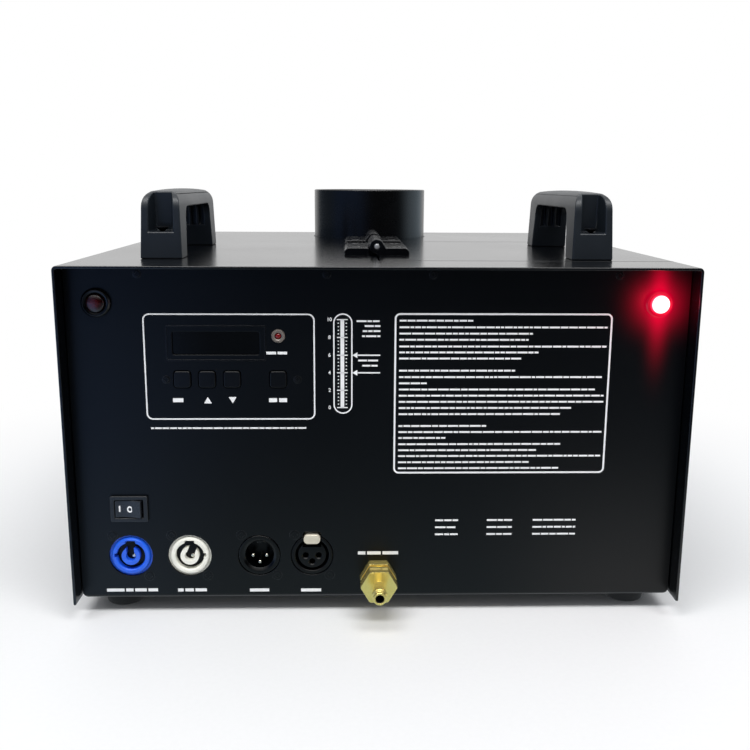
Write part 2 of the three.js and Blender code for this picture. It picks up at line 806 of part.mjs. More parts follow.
piece('bay_wall', makeBayWall(), galvanised());
piece('canister_cup', makeCup(), blackPlastic(), [canX, canY, floorZ]);
piece('canister_coupling', turnedUp(couplingProfile, medium), brass(), [canX, canY, floorZ]);
const canPipe = pipe(canValveFront - canPipeStart - 2 * seam);
piece('canister_pipe', canPipe, brass(), [canX, canPipeStart + seam, gasZ]);
piece('canister_valve', valveBlock(), brass(), [canX, canValveFront, floorZ]);
piece('canister_coil', coil(), coilPlastic(), [canX, canValveFront, floorZ]);
const linkStart = canValveFront + valveDepth + seam;
const linkEnd = blockWidth / 2 + seam;
const linkEnds = [[0, linkStart - tubeY, 0], [0, 0, 0], [linkEnd - canX, 0, 0]];
const link = bentRod(pipeRadius, coarse, ...linkEnds, pipeBend);
piece('canister_link', link, brass(), [canX, tubeY, gasZ]);

// Electronics on the floor at the left

function makeSupply() {
  let form = block(0, supplyWidth, 0, supplyDepth, 0, supplyHeight);
  for (let i = 0; i < supplyRibs; i += 1) {
    const y = supplyDepth / 2 + (i - (supplyRibs - 1) / 2) * supplyRibPitch;
    const groove = block(supplyRib * 2, supplyWidth - supplyRib * 2, y, y + supplyRib,
      supplyHeight - supplyRib, supplyHeight + overrun);
    form = form.subtract(groove);
  }
  return form;
}

function makeIgniter() {
  const plan = roundedRect(0, igniterWidth, 0, igniterDepth, coilCorner);
  let form = raised(plan, 0, igniterHeight, cornerSteps);
  const terminal = bar(igniterTerminal, igniterHeight / 2, igniterHeight + igniterTerminalRise);
  for (const share of terminalShares) {
    form = form.add(turnedUp(terminal, coarse, share * igniterWidth, igniterDepth / 2, 0));
  }
  return form;
}

piece('power_supply', makeSupply(), galvanised(), [supplyInset - wallX, supplyFront, floorZ]);
piece('ignition_transformer', makeIgniter(), glossPlastic(), [igniterLeft, igniterFront, floorZ]);

// Display: window pane, board with its posts, signal lamp and buttons

const boardFront = panelBack + boardGap;

function makeBoard() {
  const low = topZ - boardBottomDrop;
  const high = topZ - boardTopDrop;
  let form = block(boardLeft, boardRight, boardFront, boardFront + boardThick, low, high);
  for (const x of [boardLeft + boardPostInset, boardRight - boardPostInset]) {
    for (const z of [low + boardPostInset, high - boardPostInset]) {
      form = form.add(turned(bar(boardPost, panelBack, boardFront + boardThick / 2), coarse, x, 0, z));
    }
  }
  const middle = topZ - displayDrop;
  form = form.add(block(displayX - windowWidth / 2, displayX + windowWidth / 2, boardFront - digitDepth,
    boardFront + boardThick / 2, middle - windowHeight / 2, middle + windowHeight / 2));
  const z = topZ - buttonDrop;
  const half = switchBody / 2;
  for (const x of buttonXs) {
    const body = block(x - half, x + half, boardFront - half, boardFront + boardThick / 2, z - half,
      z + half);
    const plunger = bar(plungerRadius, boardFront - half - plungerDepth, boardFront);
    form = form.add(body).add(turned(plunger, coarse, x, 0, z));
  }
  return form;
}

piece('display_board', makeBoard(), circuitBoard());
const paneShape = centredRect(windowWidth + 2 * windowRim, windowHeight + 2 * windowRim, windowRim);
const pane = sweptY(paneShape, 0, windowPane, cornerSteps);
piece('display_window', pane, tintedPane(), [displayX, panelBack, topZ - displayDrop]);

const signalBore = signalLens + seam;
const holderBack = sheet + signalSleeveDepth;
const signalBack = sheet + boardGap - seam;
const holderProfile = [
  [signalBore, -signalProud], [signalRing, -signalProud], [signalRing, 0], [signalSleeve, 0],
  [signalSleeve, holderBack], [signalBore, holderBack], [signalBore, -signalProud]
];
const signalProfile = [
  [0, -signalProud], [signalLens, 0], [signalLens, holderBack], [signalSleeve, holderBack],
  [signalSleeve, signalBack], [0, signalBack]
];
const signalPlace = [signalX, frontRecess, topZ - signalDrop];
piece('signal_holder', turned(holderProfile, medium), steel(), signalPlace);
piece('signal_lamp', turned(signalProfile, medium), redLens(), signalPlace);

function makeButton() {
  const flange = buttonSide + 2 * buttonFlange;
  const under = sheet + seam;
  const flangeEnd = under + buttonFlangeDepth;
  const face = centredRect(buttonSide, buttonSide, buttonCorner);
  const cap = sweptY(face, -buttonProud, flangeEnd, cornerSteps);
  const rim = sweptY(centredRect(flange, flange, buttonCorner), under, flangeEnd, cornerSteps);
  const stemEnd = sheet + boardGap - switchBody / 2 - buttonTravel - seam;
  const stem = turned(bar(plungerRadius + 2 * seam + sheet, under, stemEnd), coarse);
  const bore = turned(bar(plungerRadius + seam, stemEnd - plungerDepth, stemEnd + overrun), coarse);
  return cap.add(rim).add(stem).subtract(bore);
}

buttonXs.forEach((x, i) => {
  const place = [x, frontRecess, topZ - buttonDrop];
  piece(`button_${buttonNames[i]}`, makeButton(), blackPlastic(), place);
});

// Indicator lamps: bezel with a sleeve through the panel, and a domed lens

const lampBore = lampLens + seam;
const bezelProfile = [
  [lampBore, -lampBezelDepth], [lampBezel - seam, -lampBezelDepth], [lampBezel, seam - lampBezelDepth],
  [lampBezel, 0], [lampSleeve, 0], [lampSleeve, lampSleeveDepth], [0, lampSleeveDepth], [0, lampInset],
  [lampBore, lampInset], [lampBore, -lampBezelDepth]
];
const domeTurn = Math.PI / 6;
const lensProfile = [
  [0, -lampBezelDepth - lampDome],
  [lampLens * Math.sin(domeTurn), -lampBezelDepth - lampDome * Math.cos(domeTurn)],
  [lampLens * Math.sin(2 * domeTurn), -lampBezelDepth - lampDome * Math.cos(2 * domeTurn)],
  [lampLens, -lampBezelDepth], [lampLens, lampInset - seam], [0, lampInset - seam]
];
for (const [side, x] of [['left', -lampX], ['right', lampX]]) {
  const place = [x, frontRecess, topZ - lampDrop];
  piece(`lamp_bezel_${side}`, turned(bezelProfile, medium), glossPlastic(), place);
  piece(`lamp_lens_${side}`, turned(lensProfile, medium), redLens(), place);
}

// Rocker switch, drawn about its pivot, which stands upright behind the panel's face

function makeSwitchBody() {
  const bezel = sweptY(centredRect(bezelWidth, bezelHeight, bezelCorner), -bezelProud, 0, cornerSteps);
  const bodyShape = centredRect(switchWidth, switchHeight, seam);
  const wellShape = centredRect(rockerWell, rockerWellHeight, seam);
  const body = sweptY(bodyShape, -bezelProud / 2, switchDepth, slotSteps);
  const well = sweptY(wellShape, -bezelProud - overrun, rockerWellDepth, slotSteps);
  return bezel.add(body).subtract(well);
}

function makeRocker() {
  const half = rockerWidth / 2;
  const shape = new THREE.Shape();
  shape.moveTo(-half, -rockerFace);
  shape.quadraticCurveTo(0, rockerDish - rockerFace + rockerDish, half, -rockerFace);
  shape.lineTo(half, 0);
  shape.absarc(0, 0, rockerHub, 0, Math.PI);
  shape.lineTo(-half, 0);
  return raised(shape, -rockerHeight / 2, rockerHeight / 2);
}

piece('switch_body', makeSwitchBody(), glossPlastic(), [rockerX, frontRecess, rockerZ]);
const rockerPlace = [rockerX, frontRecess + rockerPivotInset, rockerZ];
const rocker = piece('rocker', makeRocker(), glossPlastic(), rockerPlace);
rocker.rotation.z = -THREE.MathUtils.degToRad(rockerTilt);

// Panel connectors, clamped behind the panel by their plates

function connectorPlate() {
  const shape = centredRect(plateWidth, plateHeight, plateCorner);
  const hole = turned(bar(connectorNose - seam, 0, sheet + plateDepth + overrun), fine);
  return sweptY(shape, sheet, sheet + plateDepth, cornerSteps).subtract(hole);
}

function makeMains() {
  const back = sheet + mainsBody;
  const profile = [
    [0, mainsCavityDepth], [mainsCavity, mainsCavityDepth], [mainsCavity, -mainsProud],
    [mainsRing, -mainsProud], [connectorNose, sheet - seam], [connectorNose, back], [0, back]
  ];
  const front = -mainsProud - overrun;
  const core = turned(sleeve(mainsCoreBore, mainsCore, -mainsProud, mainsCavityDepth + sheet), medium);
  const slot = block(-mainsSlot / 2, mainsSlot / 2, front, mainsCavityDepth, 0, mainsCavity);
  const keyTop = mainsCavity + mainsKey / 2;
  const key = block(-mainsKey, mainsKey, front, mainsCavityDepth, mainsCavity - overrun, keyTop);
  const keyWay = key.subtract(turned(bar(mainsCavity - seam, front - overrun, back), medium));
  return turned(profile, fine).add(connectorPlate()).add(core.subtract(slot)).subtract(keyWay);
}

const contactPlaces = [[-pinCircleX, pinUpper], [pinCircleX, pinUpper], [0, -pinLower]];

function makeMaleShell() {
  const back = sheet + maleBody;
  const profile = [
    [0, maleCavityDepth], [maleCavity, maleCavityDepth], [maleCavity, 0], [connectorNose, 0],
    [connectorNose, back], [0, back]
  ];
  return turned(profile, fine).add(connectorPlate());
}

function makeContacts() {
  const base = maleCavityDepth - contactPlate - seam;
  let form = turned(bar(maleCavity - seam, base, maleCavityDepth - seam), medium);
  for (const [x, z] of contactPlaces) {
    form = form.add(turned(bar(contactRadius, contactRecess, base + contactPlate / 2), coarse, x, 0, z));
  }
  return form;
}

function makeFemale() {
  const back = sheet + maleBody;
  const profile = [
    [0, 0], [femaleGrooveInner, 0], [femaleGrooveInner, femaleGrooveDepth],
    [femaleGrooveOuter, femaleGrooveDepth], [femaleGrooveOuter, 0], [connectorNose, 0],
    [connectorNose, back], [0, back]
  ];
  let form = turned(profile, fine).add(connectorPlate());
  for (const [x, z] of contactPlaces) {
    form = form.subtract(turned(bar(femaleHole, -overrun, femaleHoleDepth), coarse, x, 0, z));
  }
  const half = latchWidth / 2 + seam;
  const low = latchRise - latchHeight - latchTravel - seam;
  return form.subtract(block(-half, half, -overrun, sheet + latchDepth, low, latchRise + overrun));
}

function makeLatch() {
  const tab = roundedRect(-latchWidth / 2, latchWidth / 2, latchRise - latchHeight, latchRise, latchCorner);
  return sweptY(tab, -latchProud, sheet + latchDepth - seam, cornerSteps);
}

piece('mains_inlet', makeMains(), finish(0x2f63d8, 0.4, 0), [inletX, frontRecess, connectorZ]);
piece('mains_outlet', makeMains(), finish(0xdedede, 0.4, 0), [outletX, frontRecess, connectorZ]);
piece('control_in_shell', makeMaleShell(), blackPaint(), [maleX, frontRecess, connectorZ]);
piece('control_in_contacts', makeContacts(), steel(), [maleX, frontRecess, connectorZ]);
piece('control_out_shell', makeFemale(), blackPlastic(), [femaleX, frontRecess, connectorZ]);
piece('control_out_latch', makeLatch(), steel(), [femaleX, frontRecess, connectorZ]);

// Handles: a moulded arch with a screw pocket in each end and a cored grip

function makeHandle() {
  const middle = handleLength / 2;
  const top = handleHeight - handleCrown;
  const rearEnd = handleLength - handleEndLean;
  const side = new THREE.Shape();
  side.moveTo(0, 0);
  side.lineTo(handleEndLean, top - handleShoulderDrop);
  side.quadraticCurveTo(handleEndLean, top, handleEndLean + handleShoulder, top);
  side.quadraticCurveTo(middle, handleHeight + handleCrown, rearEnd - handleShoulder, top);
  side.quadraticCurveTo(rearEnd, top, rearEnd, top - handleShoulderDrop);
  side.lineTo(handleLength, 0);
  side.lineTo(handleLength - legFoot, 0);
  side.lineTo(handleLength - legHead, gripUnder - gripCorner);
  side.quadraticCurveTo(handleLength - legHead, gripUnder, handleLength - legHead - gripCorner, gripUnder);
  side.lineTo(legHead + gripCorner, gripUnder);
  side.quadraticCurveTo(legHead, gripUnder, legHead, gripUnder - gripCorner);
  side.lineTo(legFoot, 0);
  const half = handleWidth / 2;
  const crown = half - handleLean;
  const front = new THREE.Shape();
  front.moveTo(-half, 0);
  front.lineTo(-crown, handleHeight - handleRound);
  front.quadraticCurveTo(-crown, handleHeight, handleRound - crown, handleHeight);
  front.lineTo(crown - handleRound, handleHeight);
  front.quadraticCurveTo(crown, handleHeight, crown, handleHeight - handleRound);
  front.lineTo(half, 0);
  let form = sweptX(side, -half, half).intersect(sweptY(front, -overrun, handleLength + overrun));
  const above = handleHeight + overrun;
  const pocketSide = outline([[-overrun, pocketFloor], [pocketDepth, pocketFloor], [pocketTopDepth, above],
    [-overrun, above]]);
  const pocketPlan = roundedRect(-pocketWidth / 2, pocketWidth / 2, -overrun - pocketCorner, pocketDepth,
    pocketCorner);
  const pocket = sweptX(pocketSide, -half, half).intersect(raised(pocketPlan, 0, above, cornerSteps));
  const rearPocket = pocket.mirror([0, 1, 0]).translate([0, handleLength, 0]);
  form = form.subtract(pocket).subtract(rearPocket);
  for (let i = 0; i < coreSlots; i += 1) {
    const x = (i - (coreSlots - 1) / 2) * coreSlotPitch - coreSlotWidth / 2;
    form = form.subtract(block(x, x + coreSlotWidth, legHead - coreSlotDepth,
      handleLength - legHead + coreSlotDepth, coreSlotBase, gripUnder + coreSlotRise));
  }
  return form;
}

piece('handle_left', makeHandle(), blackPlastic(), [handleInset - halfWidth, handleFront, topZ]);

// Hinges: fixed leaf, lid leaf and pin, drawn with the plate at z = 0 and the front end at y = 0

function makeLeaf(side, ownsEnds) {
  const edge = knuckleRadius + knuckleGap;
  const leafShape = outline([
    [side * edge, 0], [side * hingeHalf, 0], [side * hingeHalf, hingeLeaf - hingeChamfer],
    [side * (hingeHalf - hingeChamfer), hingeLeaf], [side * edge, hingeLeaf]
  ]);
  let form = sweptY(leafShape, 0, hingeLength);
  const ends = [[0, knuckleLength], [hingeLength - knuckleLength, hingeLength]];
  const middle = [[knuckleLength + seam, hingeLength - knuckleLength - seam]];
  for (const [y0, y1] of ownsEnds ? ends : middle) {
    const corner = knuckleRadius * Math.SQRT1_2;
    const web = outline([
      [0, 0], [side * (edge + seam), 0], [side * (edge + seam), hingeLeaf],
      [side * corner, pinHeight + corner], [0, pinHeight]
    ]);
    form = form.add(sweptY(web, y0, y1));
    form = form.add(turned(bar(knuckleRadius, y0, y1), medium, 0, 0, pinHeight));
  }
  const bore = turned(bar(hingePinRadius + seam, -overrun, hingeLength + overrun), coarse, 0, 0, pinHeight);
  return form.subtract(bore);
}

function makePin() {
  return turned(bar(hingePinRadius, -pinProud, hingeLength + pinProud), coarse, 0, 0, pinHeight);
}

const lid = new THREE.Group();
lid.position.set(0, 0, topZ);
machine.add(lid);

['front', 'rear'].forEach((end, i) => {
  piece(`hinge_leaf_${end}`, makeLeaf(-1, false), blackPlastic(), [0, hingeStarts[i], topZ]);
  piece(`hinge_pin_${end}`, makePin(), steel(), [0, hingeStarts[i], topZ]);
  piece(`lid_leaf_${end}`, makeLeaf(1, true), blackPlastic(), [0, hingeStarts[i], 0], lid);
});

// Lid: plate with a side flange, its handle, and the lock in the flange

function makeLid() {
  const inner = bendRadius - lidSheet;
  const shape = new THREE.Shape();
  shape.moveTo(lidLeft, -lidSheet);
  shape.lineTo(lidLeft, 0);
  shape.absarc(halfWidth - bendRadius, -bendRadius, bendRadius, Math.PI / 2, 0, true);
  shape.lineTo(halfWidth, -lidFlange);
  shape.lineTo(halfWidth - lidSheet, -lidFlange);
  shape.absarc(halfWidth - bendRadius, -bendRadius, inner, 0, Math.PI / 2);
  const hole = bar(lockRadius + seam, wallX - overrun, halfWidth + overrun);
  return sweptY(shape, lidFront, lidBack).subtract(turnedAcross(hole, medium, 0, lidMiddle, -lockDrop));
}

const flangeBack = halfWidth - lidSheet;
const lockBack = flangeBack - seam - lockHeadDepth;
const lockProfile = [
  [lockCore + seam, lockBack], [lockHead, lockBack], [lockHead, flangeBack - seam],
  [lockRadius, flangeBack - seam], [lockRadius, halfWidth], [lockCore + seam, halfWidth],
  [lockCore + seam, lockBack]
];

function makeLockCore() {
  const camBack = lockBack - seam - camThick;
  const camShape = roundedRect(-camLength, camWidth / 2, -camWidth / 2, camWidth / 2, camWidth / 2);
  const cam = sweptX(camShape, camBack, camBack + camThick, cornerSteps);
  const slot = block(halfWidth - lockSlotDepth, halfWidth + overrun, -lockSlotLength / 2,
    lockSlotLength / 2, -lockSlotWidth / 2, lockSlotWidth / 2);
  return turnedAcross(bar(lockCore, camBack, halfWidth), medium).add(cam).subtract(slot);
}

piece('lid', makeLid(), blackPaint(), [0, 0, 0], lid);
piece('handle_right', makeHandle(), blackPlastic(), [halfWidth - handleInset, handleFront, 0], lid);
piece('lock_housing', turnedAcross(lockProfile, medium), steel(), [0, lidMiddle, -lockDrop], lid);
piece('lock_core', makeLockCore(), steel(), [0, lidMiddle, -lockDrop], lid);

export default group;
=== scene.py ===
import json
import random
from math import atan2, cos, pi, radians, sin, sqrt, tan, tau

import bmesh
import bpy
from mathutils import Matrix, Vector


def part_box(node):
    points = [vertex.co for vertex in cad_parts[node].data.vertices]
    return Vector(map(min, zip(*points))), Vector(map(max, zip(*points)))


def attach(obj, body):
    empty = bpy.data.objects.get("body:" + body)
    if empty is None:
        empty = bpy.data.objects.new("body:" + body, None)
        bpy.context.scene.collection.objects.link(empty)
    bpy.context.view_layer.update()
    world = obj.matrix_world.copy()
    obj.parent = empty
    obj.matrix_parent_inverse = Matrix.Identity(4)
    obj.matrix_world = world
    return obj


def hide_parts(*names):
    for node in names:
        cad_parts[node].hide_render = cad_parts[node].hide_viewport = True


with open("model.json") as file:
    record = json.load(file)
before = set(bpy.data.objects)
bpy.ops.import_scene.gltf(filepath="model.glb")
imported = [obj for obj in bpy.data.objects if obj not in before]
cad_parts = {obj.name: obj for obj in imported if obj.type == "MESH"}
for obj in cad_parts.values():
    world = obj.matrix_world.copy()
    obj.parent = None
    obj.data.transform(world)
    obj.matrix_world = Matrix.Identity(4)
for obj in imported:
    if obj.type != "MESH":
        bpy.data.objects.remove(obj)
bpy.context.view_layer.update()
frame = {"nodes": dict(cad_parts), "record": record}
nodes = frame["nodes"]
bodyOf = {node: body for body, held in frame["record"]["behaviour"]["bodies"].items() for node in held}
slotOf = {node: shown.material_slots[0].name for node, shown in nodes.items()}
random.seed(11)
mm = 0.001

# Forms are in millimetres, with Y counted from the hood's front edge
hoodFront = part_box("hood")[0].y / mm


def span(node):
    shift = Vector((0, hoodFront, 0))
    low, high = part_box(node)
    return low / mm - shift, high / mm - shift


def centre(node):
    low, high = span(node)
    return (low + high) / 2


def halfWidth(node):
    low, high = span(node)
    return (high.x - low.x) / 2


def panelSpot(node):  # where a piece turned along Y has its axis
    return centre(node).x, 0, centre(node).z


topPlate = span("hood")[1].z
panelFace = span("chassis")[0].y
rearFace = span("chassis")[1].y
sideFace = span("hood")[1].x
print("frame loaded,", len(nodes), "nodes")


# Shader maths: a wire is one output socket, and sums on it add Math nodes
class Wire:
    def __init__(self, recipe, socket):
        self.recipe = recipe
        self.socket = socket

    def __add__(self, other):
        return self.recipe.maths("ADD", self, other)

    def __sub__(self, other):
        return self.recipe.maths("SUBTRACT", self, other)

    def __rsub__(self, other):
        return self.recipe.maths("SUBTRACT", other, self)

    def __mul__(self, other):
        return self.recipe.maths("MULTIPLY", self, other)

    def __truediv__(self, other):
        return self.recipe.maths("DIVIDE", self, other)

    __radd__ = __add__
    __rmul__ = __mul__


# The node tree of one material or of the world
class Recipe:
    def __init__(self, owner):
        owner.use_nodes = True
        self.tree = owner.node_tree
        self.tree.nodes.clear()
        self.known = {}

    def node(self, kind, settings=None, values=(), output=0):
        made = self.tree.nodes.new(kind)
        for name, value in (settings or {}).items():
            setattr(made, name, value)
        pairs = values.items() if isinstance(values, dict) else enumerate(values)
        for name, value in pairs:
            if isinstance(value, Wire):
                self.tree.links.new(value.socket, made.inputs[name])
            else:
                made.inputs[name].default_value = value
        return Wire(self, made.outputs[output]) if len(made.outputs) else None

    def maths(self, operation, *values):
        return self.node("ShaderNodeMath", {"operation": operation}, values)

    def vector(self, operation, *values, output=0):
        return self.node("ShaderNodeVectorMath", {"operation": operation}, values, output)

    def place(self):
        if "place" not in self.known:
            self.known["place"] = self.node("ShaderNodeTexCoord", output="Object")
        return self.known["place"]

    def noise(self, scale, detail=2, stretch=None):
        where = self.vector("MULTIPLY", self.place(), stretch) if stretch else self.place()
        return self.node("ShaderNodeTexNoise", {}, {"Vector": where, "Scale": scale, "Detail": detail})

    def part(self, vector, axis):
        return self.node("ShaderNodeSeparateXYZ", {}, [vector], axis)

    def ray(self, kind):
        return self.node("ShaderNodeLightPath", output=kind)

    def step(self, value, low, high):  # 0 below low, 1 above high, smooth between
        values = {"Value": value, "From Min": low, "From Max": high}
        return self.node("ShaderNodeMapRange", {"interpolation_type": "SMOOTHSTEP"}, values)

    def blend(self, factor, first, second):
        return self.node("ShaderNodeMix", {"data_type": "RGBA"}, {0: factor, 6: first, 7: second}, 2)

    def edges(self, radius):  # 1 along a sharp edge, 0 on a flat face
        soft = self.node("ShaderNodeBevel", {"samples": 4}, {"Radius": radius * mm})
        plain = self.node("ShaderNodeNewGeometry", output="Normal")
        return self.step(1 - self.vector("DOT_PRODUCT", soft, plain, output="Value"), 0.004, 0.09)

    def fromAxis(self, spot, axes=(1, 0, 1)):  # distance in mm from a line along Y through a spot
        ends = Vector((spot.x, spot.y + hoodFront, spot.z)) * mm
        away = self.vector("MULTIPLY", self.vector("SUBTRACT", self.place(), ends), axes)
        return self.vector("LENGTH", away, output="Value") / mm

    def surface(self, colour, roughness, height, depth, fixed):
        bump = self.node("ShaderNodeBump", {}, {"Height": height, "Distance": depth * mm})
        shader = self.node("ShaderNodeBsdfPrincipled", {}, {
            "Base Color": colour, "Roughness": roughness, **fixed, "Normal": bump})
        self.node("ShaderNodeOutputMaterial", {}, {"Surface": shader})


def tone(red, green, blue):  # a colour as it is seen, 0 to 255, made linear
    return tuple((value / 255) ** 2.2 for value in (red, green, blue)) + (1,)


def newRecipe(name):
    material = bpy.data.materials.new(name)
    return material, Recipe(material)


# Plain finishes, in mm: grain and cloud are the sizes of the fine and the broad pattern, depth is the bump's
columns = ("deep", "pale", "worn", "rough", "spread", "grain", "cloud", "depth", "wear")
casePaint = ((7, 9, 12), (12, 15, 19), (56, 62, 70), 0.2, 0.05, 1.4, 70, 0.004, 0.3)
finishes = {
    "hood_paint": casePaint,
    "lid_paint": casePaint,
    "panel_paint": ((5, 8, 11), (9, 13, 17), (48, 54, 62), 0.35, 0.07, 0.8, 90, 0.01, 0.25, {"shine": 0.32}),
    "tube_paint": ((4, 5, 7), (8, 9, 12), (50, 54, 60), 0.27, 0.1, 0.7, 30, 0.012, 0.4),
    "handle_plastic": ((26, 31, 37), (36, 42, 48), (104, 110, 116), 0.42, 0.1, 0.5, 24, 0.02, 0.35),
    "hinge_plastic": ((10, 11, 13), (17, 18, 21), (96, 99, 104), 0.2, 0.06, 0.8, 14, 0.006, 0.5),
    "pin_steel": ((190, 192, 195), (226, 228, 230), (240, 240, 241), 0.3, 0.1, 0.6, 8, 0.004, 0.5,
                  {"metal": 0.6}),
    "lock_metal": ((168, 170, 172), (205, 206, 208), (232, 232, 232), 0.22, 0.1, 0.5, 7, 0.004, 0.5,
                   {"metal": 1}),
    "foot_rubber": ((18, 19, 20), (34, 35, 36), (70, 70, 68), 0.78, 0.16, 0.4, 6, 0.04, 0.5),
    "burner_steel": ((132, 137, 140), (184, 189, 192), (215, 217, 218), 0.4, 0.2, 0.9, 40, 0.006, 0.4,
                     {"metal": 0.9, "spangle": 7}),
    "brass": ((242, 214, 112), (255, 240, 158), (250, 236, 186), 0.24, 0.1, 0.35, 9, 0.003, 0.6,
              {"metal": 0.8, "stretch": (1, 5, 1)}),
    "ceramic": ((214, 206, 188), (236, 230, 216), (196, 186, 166), 0.28, 0.12, 0.7, 5, 0.006, 0.5),
    "electrode_steel": ((104, 98, 96), (170, 164, 158), (200, 196, 190), 0.36, 0.16, 0.3, 4, 0.006, 0.3,
                        {"metal": 1}),
    "coil_plastic": ((22, 23, 25), (34, 35, 38), (80, 80, 82), 0.5, 0.1, 0.4, 12, 0.02, 0.4),
    "cup_plastic": ((30, 32, 34), (44, 46, 49), (96, 98, 100), 0.44, 0.1, 0.6, 20, 0.02, 0.5),
    "supply_case": ((140, 143, 145), (184, 187, 190), (220, 221, 222), 0.38, 0.12, 0.5, 26, 0.006, 0.5,
                    {"metal": 0.9, "stretch": (8, 1, 8)}),
    "transformer_resin": ((16, 17, 20), (27, 28, 32), (64, 66, 70), 0.22, 0.14, 2.4, 12, 0.03, 0.3),
    "board_green": ((14, 66, 38), (30, 104, 60), (150, 150, 110), 0.34, 0.1, 1.6, 3, 0.02, 0.6),
    "signal_ring": ((100, 93, 88), (136, 128, 121), (180, 172, 165), 0.34, 0.1, 0.3, 3, 0.004, 0.5,
                    {"metal": 0.3}),
    "button_plastic": ((5, 6, 8), (9, 10, 13), (40, 43, 48), 0.34, 0.1, 0.4, 5, 0.008, 0.4, {"shine": 0.4}),
    "bezel_plastic": ((7, 8, 10), (13, 14, 17), (60, 62, 68), 0.2, 0.07, 0.8, 6, 0.004, 0.4, {"shine": 0.4}),
    "switch_plastic": ((24, 26, 28), (36, 38, 41), (90, 92, 96), 0.34, 0.08, 0.5, 8, 0.01, 0.4),
    "rocker_plastic": ((28, 30, 34), (42, 45, 50), (88, 90, 95), 0.26, 0.08, 0.5, 6, 0.01, 0.3),
    "inlet_blue": ((26, 84, 222), (48, 114, 250), (140, 180, 252), 0.3, 0.1, 0.5, 7, 0.01, 0.4),
    "outlet_pale": ((240, 240, 226), (252, 252, 243), (253, 253, 250), 0.34, 0.1, 0.5, 7, 0.01, 0.4),
    "shell_metal": ((3, 4, 5), (8, 9, 11), (84, 88, 92), 0.24, 0.1, 0.6, 6, 0.01, 0.5, {"shine": 0.3}),
    "contact_metal": ((214, 208, 190), (236, 232, 220), (250, 248, 240), 0.2, 0.06, 0.3, 2, 0.003, 0.4,
                      {"metal": 1}),
    "shell_plastic": ((4, 5, 6), (8, 9, 10), (54, 55, 58), 0.4, 0.1, 0.4, 6, 0.015, 0.4, {"shine": 0.3}),
    "latch_metal": ((214, 205, 184), (236, 229, 210), (250, 246, 234), 0.32, 0.1, 0.4, 4, 0.006, 0.4,
                    {"metal": 0.25}),
    "print": ((236, 238, 241), (249, 250, 251), (206, 210, 214), 0.5, 0.1, 0.4, 6, 0.006, 0.2),
    "screw_black": ((12, 13, 15), (24, 26, 28), (96, 98, 100), 0.36, 0.12, 0.3, 3, 0.008, 0.5, {"metal": 0.5}),
}

# Painted glow of the lit lamp on what is round it, given as emission: a round halo and a longer upright streak,
# in mm
shine = {"halo": 11.2, "haloPart": 0.8, "streakWide": 4.6, "streakLong": 21, "streakPart": 0.7,
         "colour": (0.74, 0.0, 0.028, 1), "fadeFrom": 0.2, "reach": 3}


def shineOn(recipe):
    middle = centre("lamp_lens_right")
    parts = []
    for across, along, part in ((shine["halo"], shine["halo"], shine["haloPart"]),
                                (shine["streakWide"], shine["streakLong"], shine["streakPart"])):
        away = recipe.fromAxis(middle, (1 / across, 0, 1 / along))
        parts.append(recipe.maths("EXPONENT", away * away * -1) * part)
    front, behind = ((panelFace + hoodFront + shine[name]) * mm for name in ("fadeFrom", "reach"))
    fade = 1 - recipe.step(recipe.part(recipe.place(), "Y"), front, behind)
    return recipe.blend((parts[0] + parts[1]) * fade, (0, 0, 0, 1), shine["colour"])


def makeFinish(name, row, glow=False):
    look = {**dict(zip(columns, row)), **(row[len(columns)] if len(row) > len(columns) else {})}
    material, recipe = newRecipe(name + "_finish")
    broad = 1 / (look["cloud"] * mm)
    cloud = recipe.noise(broad, 4)
    grain = recipe.noise(1 / (look["grain"] * mm), 2, look.get("stretch"))
    rubbed = recipe.noise(broad * 6, 3)
    if "spangle" in look:
        cells = {"Vector": recipe.place(), "Scale": 1 / (look["spangle"] * mm)}
        crystal = recipe.node("ShaderNodeTexVoronoi", {}, cells, "Color")
        cloud = cloud * 0.4 + recipe.node("ShaderNodeSeparateColor", {}, [crystal]) * 0.6
    colour = recipe.blend(cloud, tone(*look["deep"]), tone(*look["pale"]))
    worn = recipe.edges(0.5) * recipe.step(rubbed, 0.3, 0.7) * look["wear"]
    colour = recipe.blend(worn, colour, tone(*look["worn"]))
    rough = look["rough"] + (cloud - 0.5) * look["spread"] + (grain - 0.5) * look["spread"] * 0.7
    fixed = {"Metallic": look.get("metal", 0), "Specular IOR Level": look.get("shine", 0.5)}
    # The painted red glow round the right lamp, given as emission
    if glow:
        fixed.update({"Emission Color": shineOn(recipe), "Emission Strength": 1})
    recipe.surface(colour, rough, grain * 0.7 + rubbed * 0.3, look["depth"], fixed)
    return material


def makePane():
    material, recipe = newRecipe("window_finish")
    smear = recipe.noise(60, 3)
    colour = recipe.blend(smear, tone(3, 3, 5), tone(7, 8, 10))
    recipe.surface(colour, 0.06 + smear * 0.05, smear, 0.002, {"Specular IOR Level": 0.35})
    return material


def makeLens(name, node, deep, pale, glow=0):
    material, recipe = newRecipe(name)
    away = recipe.fromAxis(centre(node))
    ribs = recipe.maths("SINE", away * 9)
    colour = recipe.blend(recipe.step(away, 1, 4.6), deep, pale)
    fixed = {"Coat Weight": 0.3, "Coat Roughness": 0.08}
    if glow:  # a near-white disc with a red rim
        fixed["Emission Color"] = recipe.blend(recipe.step(away, 4.2, 4.95), tone(255, 244, 244), pale)
        fixed["Emission Strength"] = glow
    recipe.surface(colour, 0.14 + recipe.noise(700, 2) * 0.06, ribs, 0.015, fixed)
    return material


